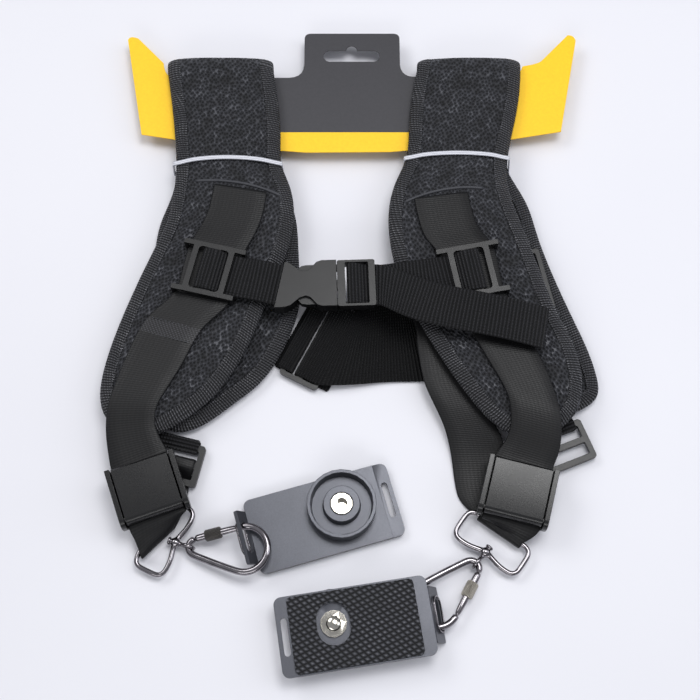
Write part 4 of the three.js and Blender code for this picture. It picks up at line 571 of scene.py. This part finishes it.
refined(waffle("waffle_rubber_left", PLATE_TURN["left"]), "rubber_pad", "plate_rubber_left", ease=0.3)
refined(waffle("waffle_rubber_right", PLATE_TURN["right"]), "rubber_pad", "plate_rubber_right", ease=0.3)
refined(knurled("knurled_sleeve_left", "#1E1D1E", "#76726E", "left"), "steel",
        "gate_sleeve_left", ease=0.2)
refined(knurled("knurled_sleeve_right", "#7C766C", "#D9D3C6", "right"), "steel",
        "gate_sleeve_right", ease=0.2)
refined(card_print("printed_card", CARD_STRIP_TOP, CARD_WING_START), "card", "hang_card", ease=0.12)


# Sewing

def spot_on(run, along, across, lift):
    """A point over the upper side of a strap, with the headings along it, across it and out of it."""
    for (start, here, side, _), (end, there, other, _) in zip(run, run[1:]):
        if along <= end:
            break
    share = (along - start) / (end - start)
    heading = (there - here).normalized()
    crosswise = side.lerp(other, share).normalized()
    out = heading.cross(crosswise).normalized()
    if out.z < 0:
        out = -out
    return here.lerp(there, share) + crosswise * across + out * lift, heading, crosswise, out


def along_at(run, y):
    """How far along a strap its middle first comes down to y."""
    for (start, here, _, _), (end, there, _, _) in zip(run, run[1:]):
        if there.y <= y <= here.y:
            return start + (end - start) * (here.y - y) / (here.y - there.y)
    raise ValueError("the strap does not cross that line")


def on_strap(run, lines, pitch, lift):
    """Places for stitches along lines that are given as (along, across) in metres on a strap."""
    for line in lines:
        for (a, b), (c, d) in zip(line, line[1:]):
            steps = max(1, round(math.hypot(c - a, d - b) / pitch))
            for number in range(steps):
                share = (number + 0.5) / steps
                point, heading, crosswise, out = spot_on(run, a + (c - a) * share, b + (d - b) * share, lift)
                yield point, heading * (c - a) + crosswise * (d - b), out


def on_tape(piece, run, inset, pitch):
    """Places for stitches along the inner edge of a pad's tape, laid down on it from above."""
    surface = BVHTree.FromObject(piece, bpy.context.evaluated_depsgraph_get())
    outermost = max(run, key=lambda row: row[1].x)
    inward = -1 if outermost[2].x > 0 else 1
    steepest = 0.45  # where the tape climbs over the fold, its stitches are out of sight
    spare = 0.0
    for (start, here, side, wide), (end, there, _, _) in zip(run, run[1:]):
        heading = (there - here).normalized()
        while spare < end - start:
            share = spare / (end - start)
            point = here.lerp(there, share) + side * inward * (wide / 2 - inset)
            spare += pitch
            if abs(heading.z) > steepest:
                continue
            hit, normal, _, _ = surface.ray_cast(point - DOWN * 5 * MM, DOWN, 9 * MM)
            if hit:
                yield hit, heading, normal
        spare -= end - start


def sewn(name, places, material, long, wide):
    """Small rounded stitches, each lying along its own heading."""
    shape = bmesh.new()
    for point, heading, out in places:
        lie = (heading - out * heading.dot(out)).normalized()
        turn = Matrix((lie, out.cross(lie), out)).transposed().to_4x4()
        size = Matrix.Diagonal((long / 2, wide / 2, wide / 3, 1))
        bmesh.ops.create_uvsphere(shape, u_segments=6, v_segments=4, radius=1.0,
                                  matrix=Matrix.Translation(point) @ turn @ size)
    placed(shape, name, material)


def seam(name, under, corners, thick, lift, material):
    """The rolled edge of the upper mesh panel, a soft ridge over the pad and the strap that leaves it."""
    surfaces = [BVHTree.FromObject(piece, bpy.context.evaluated_depsgraph_get()) for piece in under]
    first, second, third = [Vector((x * MM, y * MM, 0)) for x, y in corners]
    shape = bmesh.new()
    steps = 28
    rings = []
    for number in range(steps + 1):
        share = number / steps
        flat = first * (1 - share) ** 2 + second * 2 * share * (1 - share) + third * share ** 2
        heading = (second - first).lerp(third - second, share).normalized()
        tops = [surface.ray_cast(flat - DOWN * 50 * MM, DOWN)[0] for surface in surfaces]
        top = max((hit.z for hit in tops if hit), default=0)
        swell = thick * (0.35 if number in (0, steps) else 1)
        turn = heading.to_track_quat("Z", "Y").to_matrix().to_4x4()
        made = bmesh.ops.create_circle(shape, segments=8, radius=swell,
                                       matrix=Matrix.Translation((flat.x, flat.y, top + lift)) @ turn)
        rings.append(made["verts"])
    for ring, following in zip(rings, rings[1:]):
        edges = [edge for edge in shape.edges if all(end in ring for end in edge.verts)
                 or all(end in following for end in edge.verts)]
        bmesh.ops.bridge_loops(shape, edges=edges)
    for ring in (rings[0], rings[-1]):
        bmesh.ops.contextual_create(shape, geom=ring)
    bmesh.ops.recalc_face_normals(shape, faces=shape.faces)
    placed(shape, name, material)


bpy.context.view_layer.update()
for side in ("left", "right"):
    piece, run = tapes[side]
    sewn(f"tape_stitches_{side}", on_tape(piece, run, inset=1.5 * MM, pitch=3.1 * MM), grey_thread,
         long=2.2 * MM, wide=0.5 * MM)
# Each seam is a shallow arc over its pad, through three points (x, y) in millimetres.
seam("panel_edge_left", (pads["left"], carry_straps["left"][0]),
     ((-92.9, 88.7), (-65.9, 91.2), (-40.9, 78.2)), thick=0.9 * MM, lift=0.2 * MM, material=mesh_left)
seam("panel_edge_right", (pads["right"], carry_straps["right"][0]),
     ((31.1, 73.2), (54.6, 85.2), (78.1, 82.2)), thick=0.9 * MM, lift=0.2 * MM, material=mesh_right)

strap, run = carry_straps["left"]
upper, lower = along_at(run, BAND_TOP_Y), along_at(run, BAND_FOOT_Y)
# The elastic's flecks are 0.6 mm apart and are drawn at 1.4 mm.
strap.data.materials[0] = nylon("banded_strap_nylon", "#040405", "#121214", 1.3 * MM, band=(upper, lower))
half = 13.6 * MM
band_rows = on_strap(run, [((upper, -half), (upper, half)), ((lower, half), (lower, -half))],
                     pitch=2.4 * MM, lift=0.95 * MM)
sewn("band_stitches_left", band_rows, grey_thread, long=1.8 * MM, wide=0.45 * MM)

run = chest_straps["right"][1]
tail, half = run[0][0] + 3 * MM, 10.5 * MM
tail_row = on_strap(run, [((tail, -half), (tail, half))], pitch=2.2 * MM, lift=0.85 * MM)
sewn("tail_stitches_right", tail_row, black_thread, long=1.8 * MM, wide=0.5 * MM)


# Floor, light and camera

def pale_floor():
    """Smooth pale sheet: bluish white with the faintest cloud in it."""
    made, tree, shader = begin("pale_sheet", Specular_IOR_Level=0.2)
    height = cloudy(tree, place(tree, "Object"), 250 * MM)
    dye(tree, shader, height, "#DDDDE3", "#E4E4E9", bump=0.02, depth=0.5 * MM, roughness=(0.75, 0.7))
    return made


bpy.ops.mesh.primitive_plane_add(size=6, location=(0, 0, 0))
floor = bpy.context.object
floor.name = "pale_sheet"
floor.data.materials.append(pale_floor())

# The studio is bright overhead and dim near the horizon, which gives bright wire something dark to mirror.
world = bpy.data.worlds.new("studio")
bpy.context.scene.world = world
world.use_nodes = True
sky = world.node_tree
height = add(sky, "SeparateXYZ", {}, {"Vector": place(sky, "Generated")}).outputs["Z"]
dome = add(sky, "ValToRGB", {}, {"Fac": height})
dome.color_ramp.elements[0].position = 0.12
dome.color_ramp.elements[0].color = linear("#3A3C42")
dome.color_ramp.elements[1].position = 0.62
dome.color_ramp.elements[1].color = linear("#F2F4FB")
sky.links.new(dome.outputs["Color"], sky.nodes["Background"].inputs["Color"])
sky.nodes["Background"].inputs["Strength"].default_value = 0.46


def lamp(name, place_mm, aim_mm, size, power, colour="#FFFFFF"):
    """A rectangular soft box: place and aim in millimetres, size in metres and power in watts."""
    light = bpy.data.lights.new(name, "AREA")
    light.shape = "RECTANGLE"
    light.size, light.size_y = size
    light.energy = power
    light.color = linear(colour)[:3]
    holder = bpy.data.objects.new(name, light)
    holder.location = Vector(place_mm) * MM
    holder.rotation_euler = (Vector(aim_mm) - Vector(place_mm)).to_track_quat("-Z", "Y").to_euler()
    bpy.context.collection.objects.link(holder)


lamp("soft_box_above", (190, 210, 1100), (20, -60, 0), (0.55, 0.5), 6.6)
lamp("soft_box_left", (-700, 500, 900), (0, 0, 0), (0.7, 0.5), 4.2)
lamp("soft_box_right", (900, 0, 700), (0, 0, 0), (0.5, 0.9), 2.6, "#F4F7FF")
lamp("strip_front", (-200, -900, 600), (0, -60, 0), (0.8, 0.25), 2.2)

# The photograph was taken from 70 degrees above the surface, by a long lens.
CAMERA_LEAN = math.radians(90 - 70)
CAMERA_AIM = Vector((-0.86, -11.8, 0.13)) * MM
CAMERA_DISTANCE = 700 * MM

camera_data = bpy.data.cameras.new("photo_camera")
camera_data.lens = 62.07
camera_data.sensor_width = 36
camera = bpy.data.objects.new("photo_camera", camera_data)
camera.location = CAMERA_AIM + Vector((0, -math.sin(CAMERA_LEAN), math.cos(CAMERA_LEAN))) * CAMERA_DISTANCE
camera.rotation_euler = (CAMERA_LEAN, 0, 0)
bpy.context.collection.objects.link(camera)
bpy.context.scene.camera = camera
bpy.context.scene.view_settings.view_transform = "Standard"
